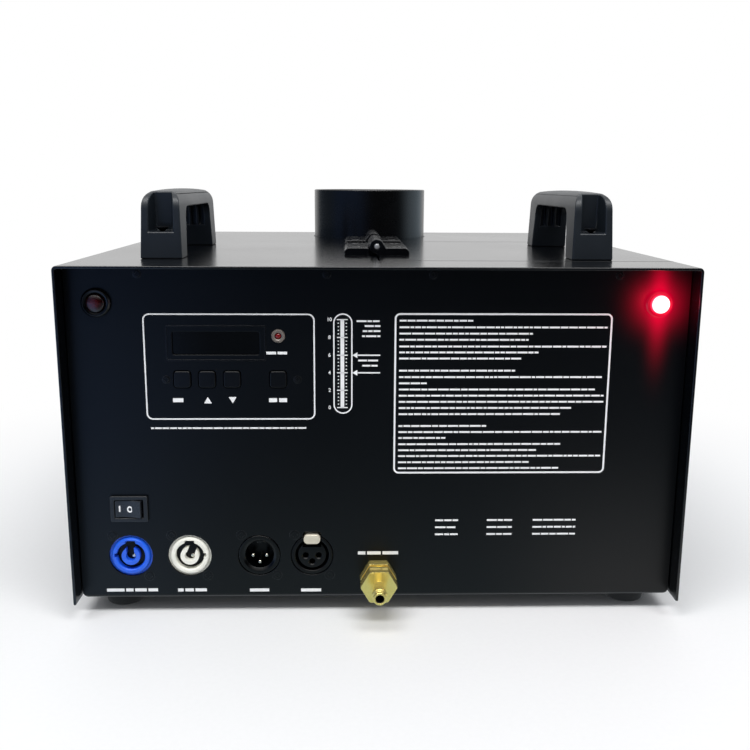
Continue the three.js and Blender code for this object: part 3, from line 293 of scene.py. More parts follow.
looks = {name: makeFinish(name, row) for name, row in finishes.items()}
# Copies of the panel paint and the bezel plastic that carry the painted glow round the lit lamp
for name in ("panel_paint", "bezel_plastic"):
    looks[name + "_lit"] = makeFinish(name + "_lit", finishes[name], True)
looks["window_pane"] = makePane()
looks["lens_dark"] = makeLens("lens_dark_finish", "lamp_lens_left", tone(58, 8, 11), tone(26, 4, 6))
looks["signal_lens"] = makeLens("signal_finish", "signal_lamp", tone(120, 20, 18), tone(70, 10, 12))
looks["lens_lit"] = makeLens("lens_lit_finish", "lamp_lens_right", tone(255, 160, 160), tone(255, 20, 60), 2.2)
print("finishes made,", len(looks))


# Forms. A spot is given by two values across an axis and one along it
def spot(axis, middle, a, b, along):
    x, y, z = middle
    return {"x": (x + along, y + a, z + b), "y": (x + a, y + along, z + b),
            "z": (x + a, y + b, z + along)}[axis]


def rounded(points, radius, steps=5):  # a closed outline with round corners; a point may carry its own radius
    made = []
    for i, (a, b, *own) in enumerate(points):
        here = Vector((a, b))
        before = (Vector(points[i - 1][:2]) - here).normalized()
        after = (Vector(points[(i + 1) % len(points)][:2]) - here).normalized()
        size = own[0] if own else radius
        half = before.angle(after, pi) / 2
        if size == 0 or half > 1.56:  # a sharp or a straight corner
            made.append((a, b))
            continue
        middle = here + (before + after).normalized() * (size / sin(half))
        start = here + before * (size / tan(half)) - middle
        end = here + after * (size / tan(half)) - middle
        sweep = atan2(start.x * end.y - start.y * end.x, start.dot(end))
        for k in range(steps + 1):
            turn = sweep * k / steps
            made.append((middle.x + start.x * cos(turn) - start.y * sin(turn),
                         middle.y + start.x * sin(turn) + start.y * cos(turn)))
    return made


def rectangle(width, height, radius, steps=5, a=0, b=0):
    w, h = width / 2, height / 2
    return rounded([(a - w, b - h), (a + w, b - h), (a + w, b + h), (a - w, b + h)], radius, steps)


def circle(radius, sides=48, a=0, b=0):
    return [(a + radius * cos(tau * i / sides), b + radius * sin(tau * i / sides)) for i in range(sides)]


def dome(radius, low, rise, step):  # half the outline of a round lens
    return [(radius * sin(radians(a)), low + rise - rise * cos(radians(a)), 0) for a in range(0, 91, step)]


def rod(radius, low, high):  # half the outline of a plain round bar
    return [(0, low), (radius, low), (radius, high), (0, high)]


def traced(path, steps=12):  # points, and bends given as a control point and an end
    made = []
    for part in path:
        if len(part) == 2:
            made.append(part)
            continue
        (x0, y0), (x1, y1, x2, y2) = made[-1], part
        for k in range(1, steps + 1):
            t = k / steps
            u, v, w = (1 - t) ** 2, 2 * t * (1 - t), t * t
            made.append((u * x0 + v * x1 + w * x2, u * y0 + v * y1 + w * y2))
    return made


def bridge(form, loops):
    for near, far in zip(loops, loops[1:]):
        count = max(len(near), len(far))
        for i in range(count):
            j = (i + 1) % count
            corners = [near[i % len(near)], near[j % len(near)], far[j % len(far)], far[i % len(far)]]
            corners = list(dict.fromkeys(corners))
            if len(corners) > 2:
                form.faces.new(corners)


def ring(form, axis, middle, outline, along):
    return [form.verts.new(spot(axis, middle, a, b, along)) for a, b in outline]


# A profile of radius and reach turned round an axis. Points on the axis end it, otherwise it closes on itself
def lathe(axis, middle, profile, radius=0.3, sides=64, reach=None, form=None):
    form = bmesh.new() if form is None else form
    ends = [(a, b, 0) if a == 0 else (a, b, *own) for a, b, *own in profile]
    loops = []
    for size, along in rounded(ends, radius, 4):
        turns = [tau * i / sides for i in range(sides)] if size else [0]
        sizes = [reach(turn, size) if reach else size for turn in turns]
        outline = [(r * cos(t), r * sin(t)) for t, r in zip(turns, sizes)]
        loops.append(ring(form, axis, middle, outline, along))
    bridge(form, loops if profile[0][0] == 0 else loops + loops[:1])
    return form


def prism(axis, middle, outline, low, high, form=None):
    form = bmesh.new() if form is None else form
    ends = [ring(form, axis, middle, outline, along) for along in (low, high)]
    form.faces.new(ends[0])
    form.faces.new(reversed(ends[1]))
    bridge(form, ends)
    return form


def band(axis, middle, outer, inner, low, high, form=None):  # a closed strip between two outlines
    form = bmesh.new() if form is None else form
    loops = [ring(form, axis, middle, outline, along)
             for outline, along in ((outer, low), (outer, high), (inner, high), (inner, low))]
    bridge(form, loops + loops[:1])
    return form


def sweep(path, radius, sides=20):  # a round bar along a path of points
    form = bmesh.new()
    points = [Vector(point) for point in path]
    loops = []
    guide = None
    for i, point in enumerate(points):
        along = (points[min(i + 1, len(points) - 1)] - points[max(i - 1, 0)]).normalized()
        guide = guide or along.orthogonal().normalized()
        guide = (guide - along * guide.dot(along)).normalized()
        other = along.cross(guide)
        loops.append([form.verts.new(point + radius * (guide * a + other * b)) for a, b in circle(1, sides)])
    form.faces.new(loops[0])
    form.faces.new(reversed(loops[-1]))
    bridge(form, loops)
    return form


def placed(name, data):  # an object of the scene
    made = bpy.data.objects.new(name, data)
    bpy.context.scene.collection.objects.link(made)
    return made


def meshOf(name, form):
    mesh = bpy.data.meshes.new(name)
    form.to_mesh(mesh)
    form.free()
    return placed(name, mesh)


def loose(form):
    bmesh.ops.recalc_face_normals(form, faces=form.faces)
    return meshOf("loose", form)


def combined(form, *cuts):  # a form after each (operation, other form)
    base = loose(form)
    others = [base]
    for operation, other in cuts:
        cutter = loose(other)
        others.append(cutter)
        modifier = base.modifiers.new("cut", "BOOLEAN")
        modifier.operation = operation
        modifier.solver = "EXACT"
        modifier.object = cutter
    made = bmesh.new()
    made.from_mesh(base.evaluated_get(bpy.context.evaluated_depsgraph_get()).data)
    bmesh.ops.remove_doubles(made, verts=made.verts, dist=0.002)
    bmesh.ops.dissolve_limit(made, angle_limit=0.01, verts=made.verts, edges=made.edges)
    for other in others:
        bpy.data.objects.remove(other)
    return made


def soften(shown, edge, steps=2, sharp=30):  # edges rounded by a modifier
    modifier = shown.modifiers.new("edges", "BEVEL")
    modifier.width = edge * mm
    modifier.segments = steps
    modifier.limit_method = "ANGLE"
    modifier.angle_limit = radians(sharp)
    modifier.use_clamp_overlap = False
    return modifier


# A finished piece. It stands for a CAD node, whose body and slot it takes, or rides on the body that it names
def addPiece(name, form, node=None, edge=0, body="case", slot=None, look=None, steps=2, sharp=30):
    bmesh.ops.recalc_face_normals(form, faces=form.faces)
    for vert in form.verts:
        vert.co = (vert.co + Vector((0, hoodFront, 0))) * mm
    made = meshOf(name, form)
    slot = slot or slotOf[node]
    made.data.materials.append(looks[look or slot])
    made.data.polygons.foreach_set("use_smooth", [True] * len(made.data.polygons))
    if edge:
        soften(made, edge, steps, sharp).harden_normals = True
    else:
        made.data.set_sharp_from_angle(angle=radians(sharp))
    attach(made, bodyOf[node] if node else body)
    if node:
        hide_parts(node)


# CAD nodes that keep their shape: merged faces and softened edges, radii in mm
keptEdges = {
    "hood": 0.45, "chassis": 0.3, "rear_panel": 0.3, "lid": 0.35, "burner_bracket": 0.4, "bay_wall": 0.3,
    "propane_valve": 0.7, "propane_coil": 1.2, "gas_block": 0.8, "canister_valve": 0.7,
    "canister_coil": 1.2, "power_supply": 0.5, "ignition_transformer": 1.5, "display_board": 0.15,
    "display_window": 0.3, "button_mode": 0.45, "button_up": 0.45, "button_down": 0.45,
    "button_reset": 0.45, "switch_body": 0.35, "rocker": 0.4
}
for node, edge in keptEdges.items():
    shown = nodes[node]
    shown.modifiers.new("merge", "WELD").merge_threshold = 0.005 * mm
    flat = shown.modifiers.new("flat", "DECIMATE")
    flat.decimate_type = "DISSOLVE"
    flat.angle_limit = radians(0.5)
    soften(shown, edge)
    shown.modifiers.new("even", "WEIGHTED_NORMAL").weight = 90  # keeps the large faces flat
for node, shown in nodes.items():
    shown.material_slots[0].material = looks[slotOf[node]]
# The front panel carries the painted glow round the lit lamp
nodes["chassis"].material_slots[0].material = looks["panel_paint_lit"]
print("CAD nodes dressed,", len(keptEdges))

# Feet: round rubber pads with a screw well underneath
foot = {"bottom": 10.7, "well": 4.4, "wellDepth": 5.5, "shoulder": 1.6, "round": 1.1}
for end in ("front_left", "front_right", "rear_left", "rear_right"):
    node = "foot_" + end
    size, top = halfWidth(node), span(node)[1].z
    pad = lathe("z", (*centre(node).xy, 0), [
        (0, foot["wellDepth"]), (foot["well"], foot["wellDepth"], 0.2), (foot["well"], 0, 0.5),
        (foot["bottom"], 0), (size, top - foot["shoulder"], 0.6), (size, top, 0.3), (0, top)], foot["round"])
    addPiece("foot_pad_" + end, pad, node)

# Flame tube
low, high = span("flame_tube")
tube = {"wall": 2, "rim": 0.95, "sides": 160}
tubeSpot = (*centre("flame_tube").xy, 0)
size = halfWidth("flame_tube")
stack = lathe("z", tubeSpot, [
    (size - tube["wall"], low.z, 0.3), (size, low.z, 0.3), (size, high.z), (size - tube["wall"], high.z)],
    tube["rim"], tube["sides"])
addPiece("flame_tube_shell", stack, "flame_tube")

# Burner nozzle, insulators and electrodes
burner = {"flange": 9, "flangeRise": 3, "tip": 4, "bore": 1.2, "boreDepth": 10, "spigot": 5}
low, high = span("burner_nozzle")
deck = span("burner_bracket")[1].z
boreEnd = high.z - burner["boreDepth"]
jet = lathe("z", tubeSpot, [
    (0, low.z), (burner["spigot"], low.z), (burner["spigot"], deck), (burner["flange"], deck),
    (burner["flange"], deck + burner["flangeRise"]), (burner["tip"], high.z), (burner["bore"], high.z, 0.2),
    (burner["bore"], boreEnd, 0), (0, boreEnd)], 0.4)
addPiece("burner_jet", jet, "burner_nozzle")
insulator = {"radius": 4, "collar": 6.5, "collarRise": 4, "cone": 2.5, "ribs": 3, "ribDepth": 0.7,
             "ribStart": 3.4, "plainTop": 4}
collarTop = deck + insulator["collarRise"]
for side in ("left", "right"):
    node = "insulator_" + side
    low, high = span(node)
    size, collar = insulator["radius"], insulator["collar"]
    neckSize = size - insulator["ribDepth"]
    profile = [(0, low.z), (size, low.z), (size, deck, 0), (collar, deck), (collar, collarTop),
               (size, collarTop + insulator["cone"])]
    pitch = (high.z - collarTop - insulator["plainTop"]) / (insulator["ribs"] + 1)
    for i in range(insulator["ribs"]):  # the creep grooves round the neck
        groove = collarTop + insulator["ribStart"] + i * pitch
        profile += [(size, groove), (neckSize, groove + pitch / 3), (neckSize, groove + pitch / 2),
                    (size, groove + pitch * 0.8)]
    neck = lathe("z", (*centre(node).xy, 0), profile + [(size, high.z), (0, high.z)], 0.35)
    addPiece("insulator_body_" + side, neck, node)
electrode = {"radius": 1.2, "bend": 3, "steps": 10}
for side, inward in (("left", 1), ("right", -1)):
    low, high = span("electrode_" + side)
    x, y = centre("insulator_" + side).xy
    tip = high.x if inward > 0 else low.x
    knee = high.z - electrode["radius"]
    bend = electrode["bend"]
    path = traced([(x, low.z), (x, knee - bend), (x, knee, x + inward * bend, knee), (tip, knee)],
                  electrode["steps"])
    wire = sweep([(a, y, b) for a, b in path], electrode["radius"])
    addPiece("electrode_rod_" + side, wire, "electrode_" + side, edge=0.2, sharp=50)
print("burner made")

# Brass gas inlet: bulkhead nut, hexagonal body and nipple. The nose is given by radius, reach from the tip and
# corner: stem, collar, waist, tip and bore
inlet = {"across": 17.5, "nutBore": 6.9, "chamfer": 0.3, "chamferRise": 0.5, "hexFront": 14.2, "hexDepth": 8,
         "bore": 2.45, "boreDepth": 9, "stem": 3.6, "boss": 7.6, "bossDepth": 10.1, "shank": 6.4, "shadePlug": 0.5,
         "nose": ((3.6, 6.3, 0.2), (4.2, 5.6, 0.4), (4.2, 3.5, 0.5), (3.1, 2.9, 0.2), (3.1, 2, 0.2),
                  (3.6, 1.5, 0.2), (3.6, 0, 0.5), (2.45, 0, 0.2))}


def hexReach(across):
    def reach(turn, size):
        return min(size, across / 2 / cos(turn % (pi / 3) - pi / 6))
    return reach


def hexProfile(front, back):  # a hexagon's ends turned down to a cone
    corner = inlet["across"] / sqrt(3)
    steps = [(corner - inlet["chamfer"], front), (corner, front + inlet["chamferRise"])]
    return steps + [(a, back - (b - front)) for a, b in reversed(steps)]


low, high = span("gas_nut")
gasSpot = panelSpot("gas_nut")
nutBore, hexagon = inlet["nutBore"], hexReach(inlet["across"])
nut = lathe("y", gasSpot, [(nutBore, low.y), *hexProfile(low.y, high.y), (nutBore, high.y)], 0, 96, hexagon)
addPiece("gas_nut_turned", nut, "gas_nut", edge=0.12, steps=1, sharp=35)
low, high = span("gas_nipple")
hexFront, boreEnd = low.y + inlet["hexFront"], low.y + inlet["boreDepth"]
hexBack, bossEnd = hexFront + inlet["hexDepth"], hexFront + inlet["bossDepth"]
nipple = lathe("y", gasSpot, [(0, hexFront + 1), *hexProfile(hexFront, hexBack), (0, hexBack)], 0, 96, hexagon)
nose = [(size, low.y + along, corner) for size, along, corner in inlet["nose"]]
stem = lathe("y", gasSpot, [(0, hexFront + 5), (inlet["stem"], hexFront + 5), *nose,
                            (inlet["bore"], boreEnd, 0), (0, boreEnd)], 0.3)
shank = lathe("y", gasSpot, [
    (0, hexFront + 2), (inlet["boss"], hexFront + 2), (inlet["boss"], bossEnd), (inlet["shank"], bossEnd),
    (inlet["shank"], high.y), (0, high.y)], 0.3)
nipple = combined(nipple, ("UNION", stem), ("UNION", shank))
addPiece("gas_nipple_turned", nipple, "gas_nipple", edge=0.12, steps=1, sharp=35)
# A black plug fills the nipple's bore from just behind its tip: painted shade that makes the bore look dark
shadePlugRadius = inlet["bore"] - 0.02
shadePlug = lathe("y", gasSpot, [
    (0, boreEnd - 0.6), (inlet["bore"] - 0.4, boreEnd - 0.6), (inlet["bore"] - 0.3, low.y + inlet["shadePlug"]),
    (shadePlugRadius, low.y + inlet["shadePlug"] + 0.3), (shadePlugRadius, boreEnd - 0.1), (0, boreEnd - 0.1)], 0.1, 48)
addPiece("gas_nipple_painted_shade", shadePlug, slot="coil_plastic", look="screw_black")

# Indicator lamps: bezel and domed lens
lamp = {"bore": 5.2, "boreStart": 0.5, "lens": 4.9, "dome": 1.9, "sleeve": 5.9, "lip": 6.7, "rim": 1.3,
        "well": 9}
for side in ("left", "right"):
    bezel, lens = "lamp_bezel_" + side, "lamp_lens_" + side
    low, high = span(bezel)
    at, size, well = panelSpot(bezel), halfWidth(bezel), panelFace + lamp["well"]
    form = lathe("y", at, [
        (0, well), (lamp["bore"], well, 0), (lamp["bore"], low.y + lamp["boreStart"], 0.3),
        (lamp["lip"], low.y, 0.5), (size, low.y + lamp["rim"], 0.7), (size, panelFace, 0.1),
        (lamp["sleeve"], panelFace, 0), (lamp["sleeve"], high.y), (0, high.y)], 0.4)
    addPiece("lamp_ring_" + side, form, bezel, look="bezel_plastic_lit" if side == "right" else None)
    low, high = span(lens)
    form = lathe("y", at, dome(lamp["lens"], low.y, lamp["dome"], 9) + [(lamp["lens"], high.y), (0, high.y)], 0)
    addPiece("lamp_dome_" + side, form, lens, sharp=40)

# Signal lamp beside the display window
signal = {"bore": 1.8, "boreStart": 0.5, "flare": 2.3, "lens": 1.5, "sleeve": 2.7, "flange": 5}
low, high = span("signal_holder")
at, size = panelSpot("signal_holder"), halfWidth("signal_holder")
form = lathe("y", at, [
    (signal["bore"], low.y + signal["boreStart"], 0.1), (signal["flare"], low.y + 0.1, 0.2),
    (size - 0.5, low.y, 0.3), (size, panelFace, 0.1), (signal["sleeve"], panelFace, 0),
    (signal["sleeve"], high.y, 0), (signal["bore"], high.y, 0)], 0.2, 48)
addPiece("signal_bezel", form, "signal_holder")
low, high = span("signal_lamp")
size, shoulder = halfWidth("signal_lamp"), high.y - signal["flange"]
form = lathe("y", at, dome(signal["lens"], low.y, 1, 15) + [
    (signal["lens"], shoulder, 0), (size, shoulder), (size, high.y), (0, high.y)], 0.2, 48)
addPiece("signal_bulb", form, "signal_lamp", sharp=40)
print("lamps made")

# Thin trim round the display window
trim = {"out": 0.9, "proud": 0.25, "corner": 1.2}
low, high = span("display_window")
wide, tall = high.x - low.x, high.z - low.z
outer = rectangle(wide + 2 * trim["out"], tall + 2 * trim["out"], trim["corner"])
form = band("y", panelSpot("display_window"), outer, rectangle(wide, tall, 0.3), panelFace - trim["proud"],
            panelFace + 0.05)
addPiece("window_trim", form, edge=0.1, slot="window_pane", look="bezel_plastic")

# The panel connectors' flange plate behind the panel, open for the nose
flange = {"front": 1.5, "depth": 2.5, "corner": 3}


def withFlange(node, nose, form, *cuts):
    low, high = span(node)
    at, front = panelSpot(node), panelFace + flange["front"]
    back = front + flange["depth"]
    plate = prism("y", at, rectangle(high.x - low.x, high.z - low.z, flange["corner"]), front, back)
    hole = prism("y", at, circle(nose - 0.3, 96), front - 1, back + 1)
    return combined(form, ("UNION", combined(plate, ("DIFFERENCE", hole))), *cuts)


# Mains inlet and outlet: a round nose with a ring well and a slotted core
mains = {"ring": 10.1, "well": 7.75, "depth": 15, "core": 5.1, "coreBore": 2.7, "slot": 4.2, "nose": 10.8,
         "lip": 0.6, "key": 2.6, "keyRise": 8.9, "cutDepth": 12, "notch": (2.8, 2.2), "pin": 1, "pinDepth": 2.8,
         "pinOff": (1.2, -0.8), "shadeFrom": 3.6}
for node, side, lean in (("mains_inlet", -1, 4), ("mains_outlet", 1, -20)):  # the notch's side, the slot's lean
    low, high = span(node)
    at = panelSpot(node)
    wellEnd, cutEnds = low.y + mains["depth"], (low.y - 5, low.y + mains["cutDepth"])
    form = lathe("y", at, [
        (0, wellEnd), (mains["well"], wellEnd, 0), (mains["well"], low.y + 0.5, 0.4),
        (mains["well"] + mains["lip"], low.y, 0.3), (mains["ring"], low.y, 0.7),
        (mains["nose"], panelFace + 1.2, 0.2), (mains["nose"], high.y), (0, high.y)], 0.3, 96)
    key = prism("y", at, rectangle(2 * mains["key"], 4, 0.3, b=mains["keyRise"] - 2), *cutEnds)
    notch = prism("y", at, rectangle(*mains["notch"], 0.2, a=side * (mains["well"] - 0.2), b=0.4), *cutEnds)
    half = mains["slot"] / 2
    outline = []
    for r, way in ((mains["core"], -1), (mains["coreBore"], 1)):  # round the outside, then back inside
        gap = atan2(sqrt(r * r - half * half), half)
        turns = [gap - (pi + 2 * gap) * k / 40 for k in range(41)][::-way]
        outline += [(r * cos(turn + radians(lean)), r * sin(turn + radians(lean))) for turn in turns]
    core = prism("y", at, outline, low.y, wellEnd + 1)
    form = withFlange(node, mains["nose"], form, ("DIFFERENCE", key), ("DIFFERENCE", notch), ("UNION", core))
    addPiece(node + "_body", form, node, edge=0.22, sharp=40)
    a, b = mains["pinOff"]
    pin = rod(mains["pin"], low.y + mains["pinDepth"], wellEnd)
    addPiece(node + "_contacts", lathe("y", (at[0] + a, 0, at[2] + b), pin, 0.3, 24), slot="contact_metal")
    # A near-black insert fills the ring well and the core's bore behind their front part: painted shade that
    # makes them look deep
    form = lathe("y", at, rod(mains["well"] - 0.05, low.y + mains["shadeFrom"], wellEnd - 0.1), 0.2, 64)
    addPiece(node + "_holder", form, slot="coil_plastic", look="shell_plastic")
print("mains connectors made")

# Three-pin male connector
plug = {"well": 7.9, "depth": 14, "nose": 11.4, "cone": 9.3, "coneEnd": 1.1, "key": (2.6, 1.6), "keyFront": 1.4,
        "pin": 1.05, "base": 2.3, "places": [(-3.8, -1.1), (3.8, -1.1), (0, -5)]}
low, high = span("control_in_shell")
at, wellEnd = panelSpot("control_in_shell"), panelFace + plug["depth"]
form = lathe("y", at, [
    (0, wellEnd), (plug["well"], wellEnd, 0), (plug["well"], panelFace + plug["coneEnd"], 0.3),
    (plug["cone"], low.y + 0.15, 0.3), (plug["nose"], low.y, 0.5), (plug["nose"], high.y), (0, high.y)],
    0.3, 96)
key = prism("y", at, rectangle(*plug["key"], 0.4, b=plug["well"] - 0.5), panelFace + plug["keyFront"],
            wellEnd + 0.5)
form = withFlange("control_in_shell", plug["nose"], form, ("UNION", key))
addPiece("control_in_body", form, "control_in_shell", edge=0.2, sharp=40)
low, high = span("control_in_contacts")
base = wellEnd - plug["base"]
form = lathe("y", at, rod(plug["well"] - 0.3, base, high.y), 0.2)
addPiece("control_in_insulator", form, slot="shell_plastic")
form = bmesh.new()
for a, b in plug["places"]:
    lathe("y", (at[0] + a, 0, at[2] + b), [
        (0, low.y), (plug["pin"], low.y, 0.9), (plug["pin"], base + 1), (0, base + 1)], 0.1, 32, form=form)
addPiece("control_in_pins", form, "control_in_contacts")

# Three-hole female connector with its latch tab
socket = {"outer": 9.3, "inner": 7.8, "depth": 12, "nose": 11.4, "hole": 1.5, "mouth": 2.2, "holeDepth": 8,
          "places": [(-3.6, -0.6), (3.6, -0.6), (0, -4.2)], "tabLess": (0.4, 1.1), "tabDrop": 0.55}
low, high = span("control_out_shell")
at, front, wellEnd = panelSpot("control_out_shell"), low.y + 0.5, low.y + socket["depth"]
form = lathe("y", at, [
    (0, front), (socket["inner"], front), (socket["inner"], wellEnd, 0), (socket["outer"], wellEnd, 0),
    (socket["outer"], low.y + 0.3, 0.3), (socket["outer"] + 0.5, low.y, 0.2), (socket["nose"], low.y, 0.5),
    (socket["nose"], high.y), (0, high.y)], 0.4, 96)
holes = bmesh.new()
holeEnd = low.y + socket["holeDepth"]
for a, b in socket["places"]:
    lathe("y", (at[0] + a, 0, at[2] + b), [
        (0, low.y - 2), (socket["mouth"], low.y - 2, 0), (socket["mouth"], front, 0),
        (socket["hole"], low.y + 1.1, 0), (socket["hole"], holeEnd, 0), (0, holeEnd)], 0, 32, form=holes)
tabLow, tabHigh = span("control_out_latch")
width, height, tabAt = tabHigh.x - tabLow.x, tabHigh.z - tabLow.z, (tabHigh.z + tabLow.z) / 2
outline = rectangle(width + 0.6, height + 3, 0.3, b=tabAt - at[2] - 0.6)
room = prism("y", at, outline, low.y - 2, tabHigh.y + 0.5)
form = withFlange("control_out_shell", socket["nose"], form, ("DIFFERENCE", holes), ("DIFFERENCE", room))
addPiece("control_out_body", form, "control_out_shell", edge=0.2, sharp=40)
outline = rectangle(width - socket["tabLess"][0], height - socket["tabLess"][1], 2.4, 8)
form = prism("y", (at[0], 0, tabAt - socket["tabDrop"]), outline, tabLow.y, tabHigh.y)
addPiece("control_out_tab", form, "control_out_latch", edge=0.55, steps=4)
print("control connectors made")

# Handles: a moulded arch with a screw pocket in each end and a cored grip
handle = {"lean": 0.9, "crown": 10, "shoulder": 14, "shoulderDrop": 11, "endLean": 2, "swell": 1.2, "seat": 0.1,
          "legFoot": 17, "legHead": 21, "gripUnder": 28, "gripCorner": 9, "pocketFloor": 14.7,
          "pocketWidth": 13.6, "pocketBack": 9, "pocketDepth": 14, "pocketTopDepth": 11.5, "pocketCorner": 1.5,
          "slotWidth": 3, "slotPitch": 5, "slotDepth": 3, "slotRise": 4, "slotBase": 14, "screw": 3.8,
          "screwIn": 6.6, "screwRise": 2.4}


def makeHandle(node, name):
    look = handle
    low, high = span(node)
    length, height, width = high.y - low.y, high.z - low.z - look["seat"], high.x - low.x
    at = (centre(node).x, low.y, low.z)
    lean, top, rear = look["endLean"], height - look["swell"], length - look["endLean"]
    under, bend, leg, drop = look["gripUnder"], look["gripCorner"], look["legHead"], look["shoulderDrop"]
    side = traced([
        (0, 0), (lean, top - drop), (lean, top, lean + look["shoulder"], top),
        (length / 2, height + look["swell"], rear - look["shoulder"], top), (rear, top, rear, top - drop),
        (length, 0), (length - look["legFoot"], 0), (length - leg, under - bend),
        (length - leg, under, length - leg - bend, under), (leg + bend, under), (leg, under, leg, under - bend),
        (look["legFoot"], 0)])
    half = width / 2
    crown, turn = half - look["lean"], look["crown"]
    front = traced([(-half, 0), (-crown, height - turn), (-crown, height, turn - crown, height),
                    (crown - turn, height), (crown, height, crown, height - turn), (half, 0)])
    cuts = [("INTERSECT", prism("y", at, front, -5, length + 5))]
    floor, depth, mouth, back = (look["pocket" + key] for key in ("Floor", "Depth", "Width", "Back"))
    plan = rounded([(-mouth / 2, -6, 0), (mouth / 2, -6, 0), (mouth / 2, 1, 0), (back / 2, depth),
                    (-back / 2, depth), (-mouth / 2, 1, 0)], look["pocketCorner"], 8)
    slope = [(-6, 0), (depth, 0), (depth, floor), (look["pocketTopDepth"], height + 6), (-6, height + 6)]
    for end, way in ((0, 1), (length, -1)):
        pocket = prism("z", at, [(a, end + way * b) for a, b in plan], floor, height + 5)
        wedge = prism("x", at, [(end + way * a, b) for a, b in slope], -half, half)
        cuts.append(("DIFFERENCE", combined(pocket, ("INTERSECT", wedge))))
    x, ends = look["slotWidth"] / 2, (leg - look["slotDepth"], length - leg + look["slotDepth"])
    for middle in (-look["slotPitch"], 0, look["slotPitch"]):
        outline = [(middle - x, ends[0]), (middle + x, ends[0]), (middle + x, ends[1]), (middle - x, ends[1])]
        cuts.append(("DIFFERENCE", prism("z", at, outline, look["slotBase"], under + look["slotRise"])))
    addPiece(name, combined(prism("x", at, side, -half, half), *cuts), node, edge=0.8, steps=3, sharp=36)


for side in ("left", "right"):
    makeHandle("handle_" + side, "handle_grip_" + side)
print("handles made")

# Hinges: two moulded leaves that share a steel pin
hinge = {"half": 19, "leaf": 4.6, "chamfer": 1.8, "knuckle": 4.2, "edge": 5, "pin": 1.5, "pinRise": 5.4,
         "pinRoom": 0.25, "knuckleLength": 12, "seam": 0.3}
hingeLine = (0, 0, topPlate + hinge["pinRise"])


def leafForm(y0, y1, side, barrel):
    look = hinge
    flat = [(side * a, b) for a, b in (
        (look["edge"], 0), (look["half"], 0), (look["half"], look["leaf"] - look["chamfer"]),
        (look["half"] - look["chamfer"], look["leaf"]), (look["edge"], look["leaf"]))]
    if barrel:
        arc = [(side * look["knuckle"] * cos(radians(a)), look["pinRise"] + look["knuckle"] * sin(radians(a)))
               for a in range(45, 271, 9)]
        flat = [(0, 0)] + flat[1:4] + [(side * (look["edge"] + look["seam"]), look["leaf"])] + arc
    return prism("y", (0, 0, topPlate), flat, y0, y1)


for end in ("front", "rear"):
    low, high = span("lid_leaf_" + end)
    y0, y1, long = low.y, high.y, hinge["knuckleLength"]
    bore = lathe("y", hingeLine, rod(hinge["pin"] + hinge["pinRoom"], y0 - 3, y1 + 3), 0, 32)
    lidLeaf = combined(leafForm(y0, y1, 1, False), ("UNION", leafForm(y0, y0 + long, 1, True)),
                       ("UNION", leafForm(y1 - long, y1, 1, True)), ("DIFFERENCE", bore.copy()))
    addPiece("hinge_lid_leaf_" + end, lidLeaf, "lid_leaf_" + end, edge=0.35, steps=3)
    inside = long + hinge["seam"]
    fixedLeaf = combined(leafForm(y0, y1, -1, False), ("UNION", leafForm(y0 + inside, y1 - inside, -1, True)),
                         ("DIFFERENCE", bore))
    addPiece("hinge_fixed_leaf_" + end, fixedLeaf, "hinge_leaf_" + end, edge=0.35, steps=3)
    low, high = span("hinge_pin_" + end)
    pin = lathe("y", hingeLine, rod(hinge["pin"], low.y, high.y), 0.5, 32)
    addPiece("hinge_rod_" + end, pin, "hinge_pin_" + end)
print("hinges made")

# Lid lock in the side flange
lock = {"core": 5.5, "seam": 0.3, "head": 10.5, "headDepth": 2, "body": 8, "camThick": 2, "camLength": 24,
        "camWidth": 9, "slot": (8, 1.6), "slotDepth": 1}
low, high = span("lock_housing")
at = (0, *centre("lock_housing").yz)
bore, under = lock["core"] + lock["seam"], low.x + lock["headDepth"]
form = lathe("x", at, [
    (bore, low.x, 0), (lock["head"], low.x), (lock["head"], under), (lock["body"], under, 0),
    (lock["body"], high.x, 0.3), (bore, high.x, 0.2)], 0.3, 72)
addPiece("lock_ring", form, "lock_housing")
low, high = span("lock_core")
form = lathe("x", at, rod(lock["core"], low.x, high.x), 0.3)
half, far = lock["camWidth"] / 2, -lock["camLength"]
cam = prism("x", at, rounded([(far, -half), (half, -half), (half, half), (far, half)], half - 0.01, 8),
            low.x, low.x + lock["camThick"])
slot = prism("x", at, rectangle(*lock["slot"], 0.5), high.x - lock["slotDepth"], high.x + 3)
addPiece("lock_barrel", combined(form, ("UNION", cam), ("DIFFERENCE", slot)), "lock_core", edge=0.15, sharp=40)
print("lock made")

# Canister bay: cup, coupling and pipes
cup = {"wall": 2.5, "shelf": 30, "hole": 8, "notch": 4.3, "notchTop": 15.6}
low, high = span("canister_cup")
cupSpot = (*centre("canister_cup").xy, low.z)
outer, tall = halfWidth("canister_cup"), high.z - low.z
inner, under = outer - cup["wall"], cup["shelf"] - cup["wall"]
form = lathe("z", cupSpot, [
    (inner, 0, 0.3), (outer, 0, 0.3), (outer, tall), (inner, tall), (inner, cup["shelf"], 0),
    (cup["hole"], cup["shelf"]), (cup["hole"], under), (inner, under, 0)], 0.8, 96)
notch = prism("y", cupSpot, rectangle(2 * cup["notch"], 2 * cup["notchTop"], 2), 0, outer + 5)
addPiece("canister_cradle", combined(form, ("DIFFERENCE", notch)), "canister_cup", edge=0.3, sharp=40)
coupling = {"body": 13, "groove": 11.5, "grooveEnds": (8, 21.5), "slope": 1.5, "neck": 6, "bore": 1.6,
            "boreDepth": 8}
low, high = span("canister_coupling")
body, groove, neck, bore = (coupling[key] for key in ("body", "groove", "neck", "bore"))
tall, boreEnd = high.z - low.z, high.z - low.z - coupling["boreDepth"]
(a, b), slope = coupling["grooveEnds"], coupling["slope"]
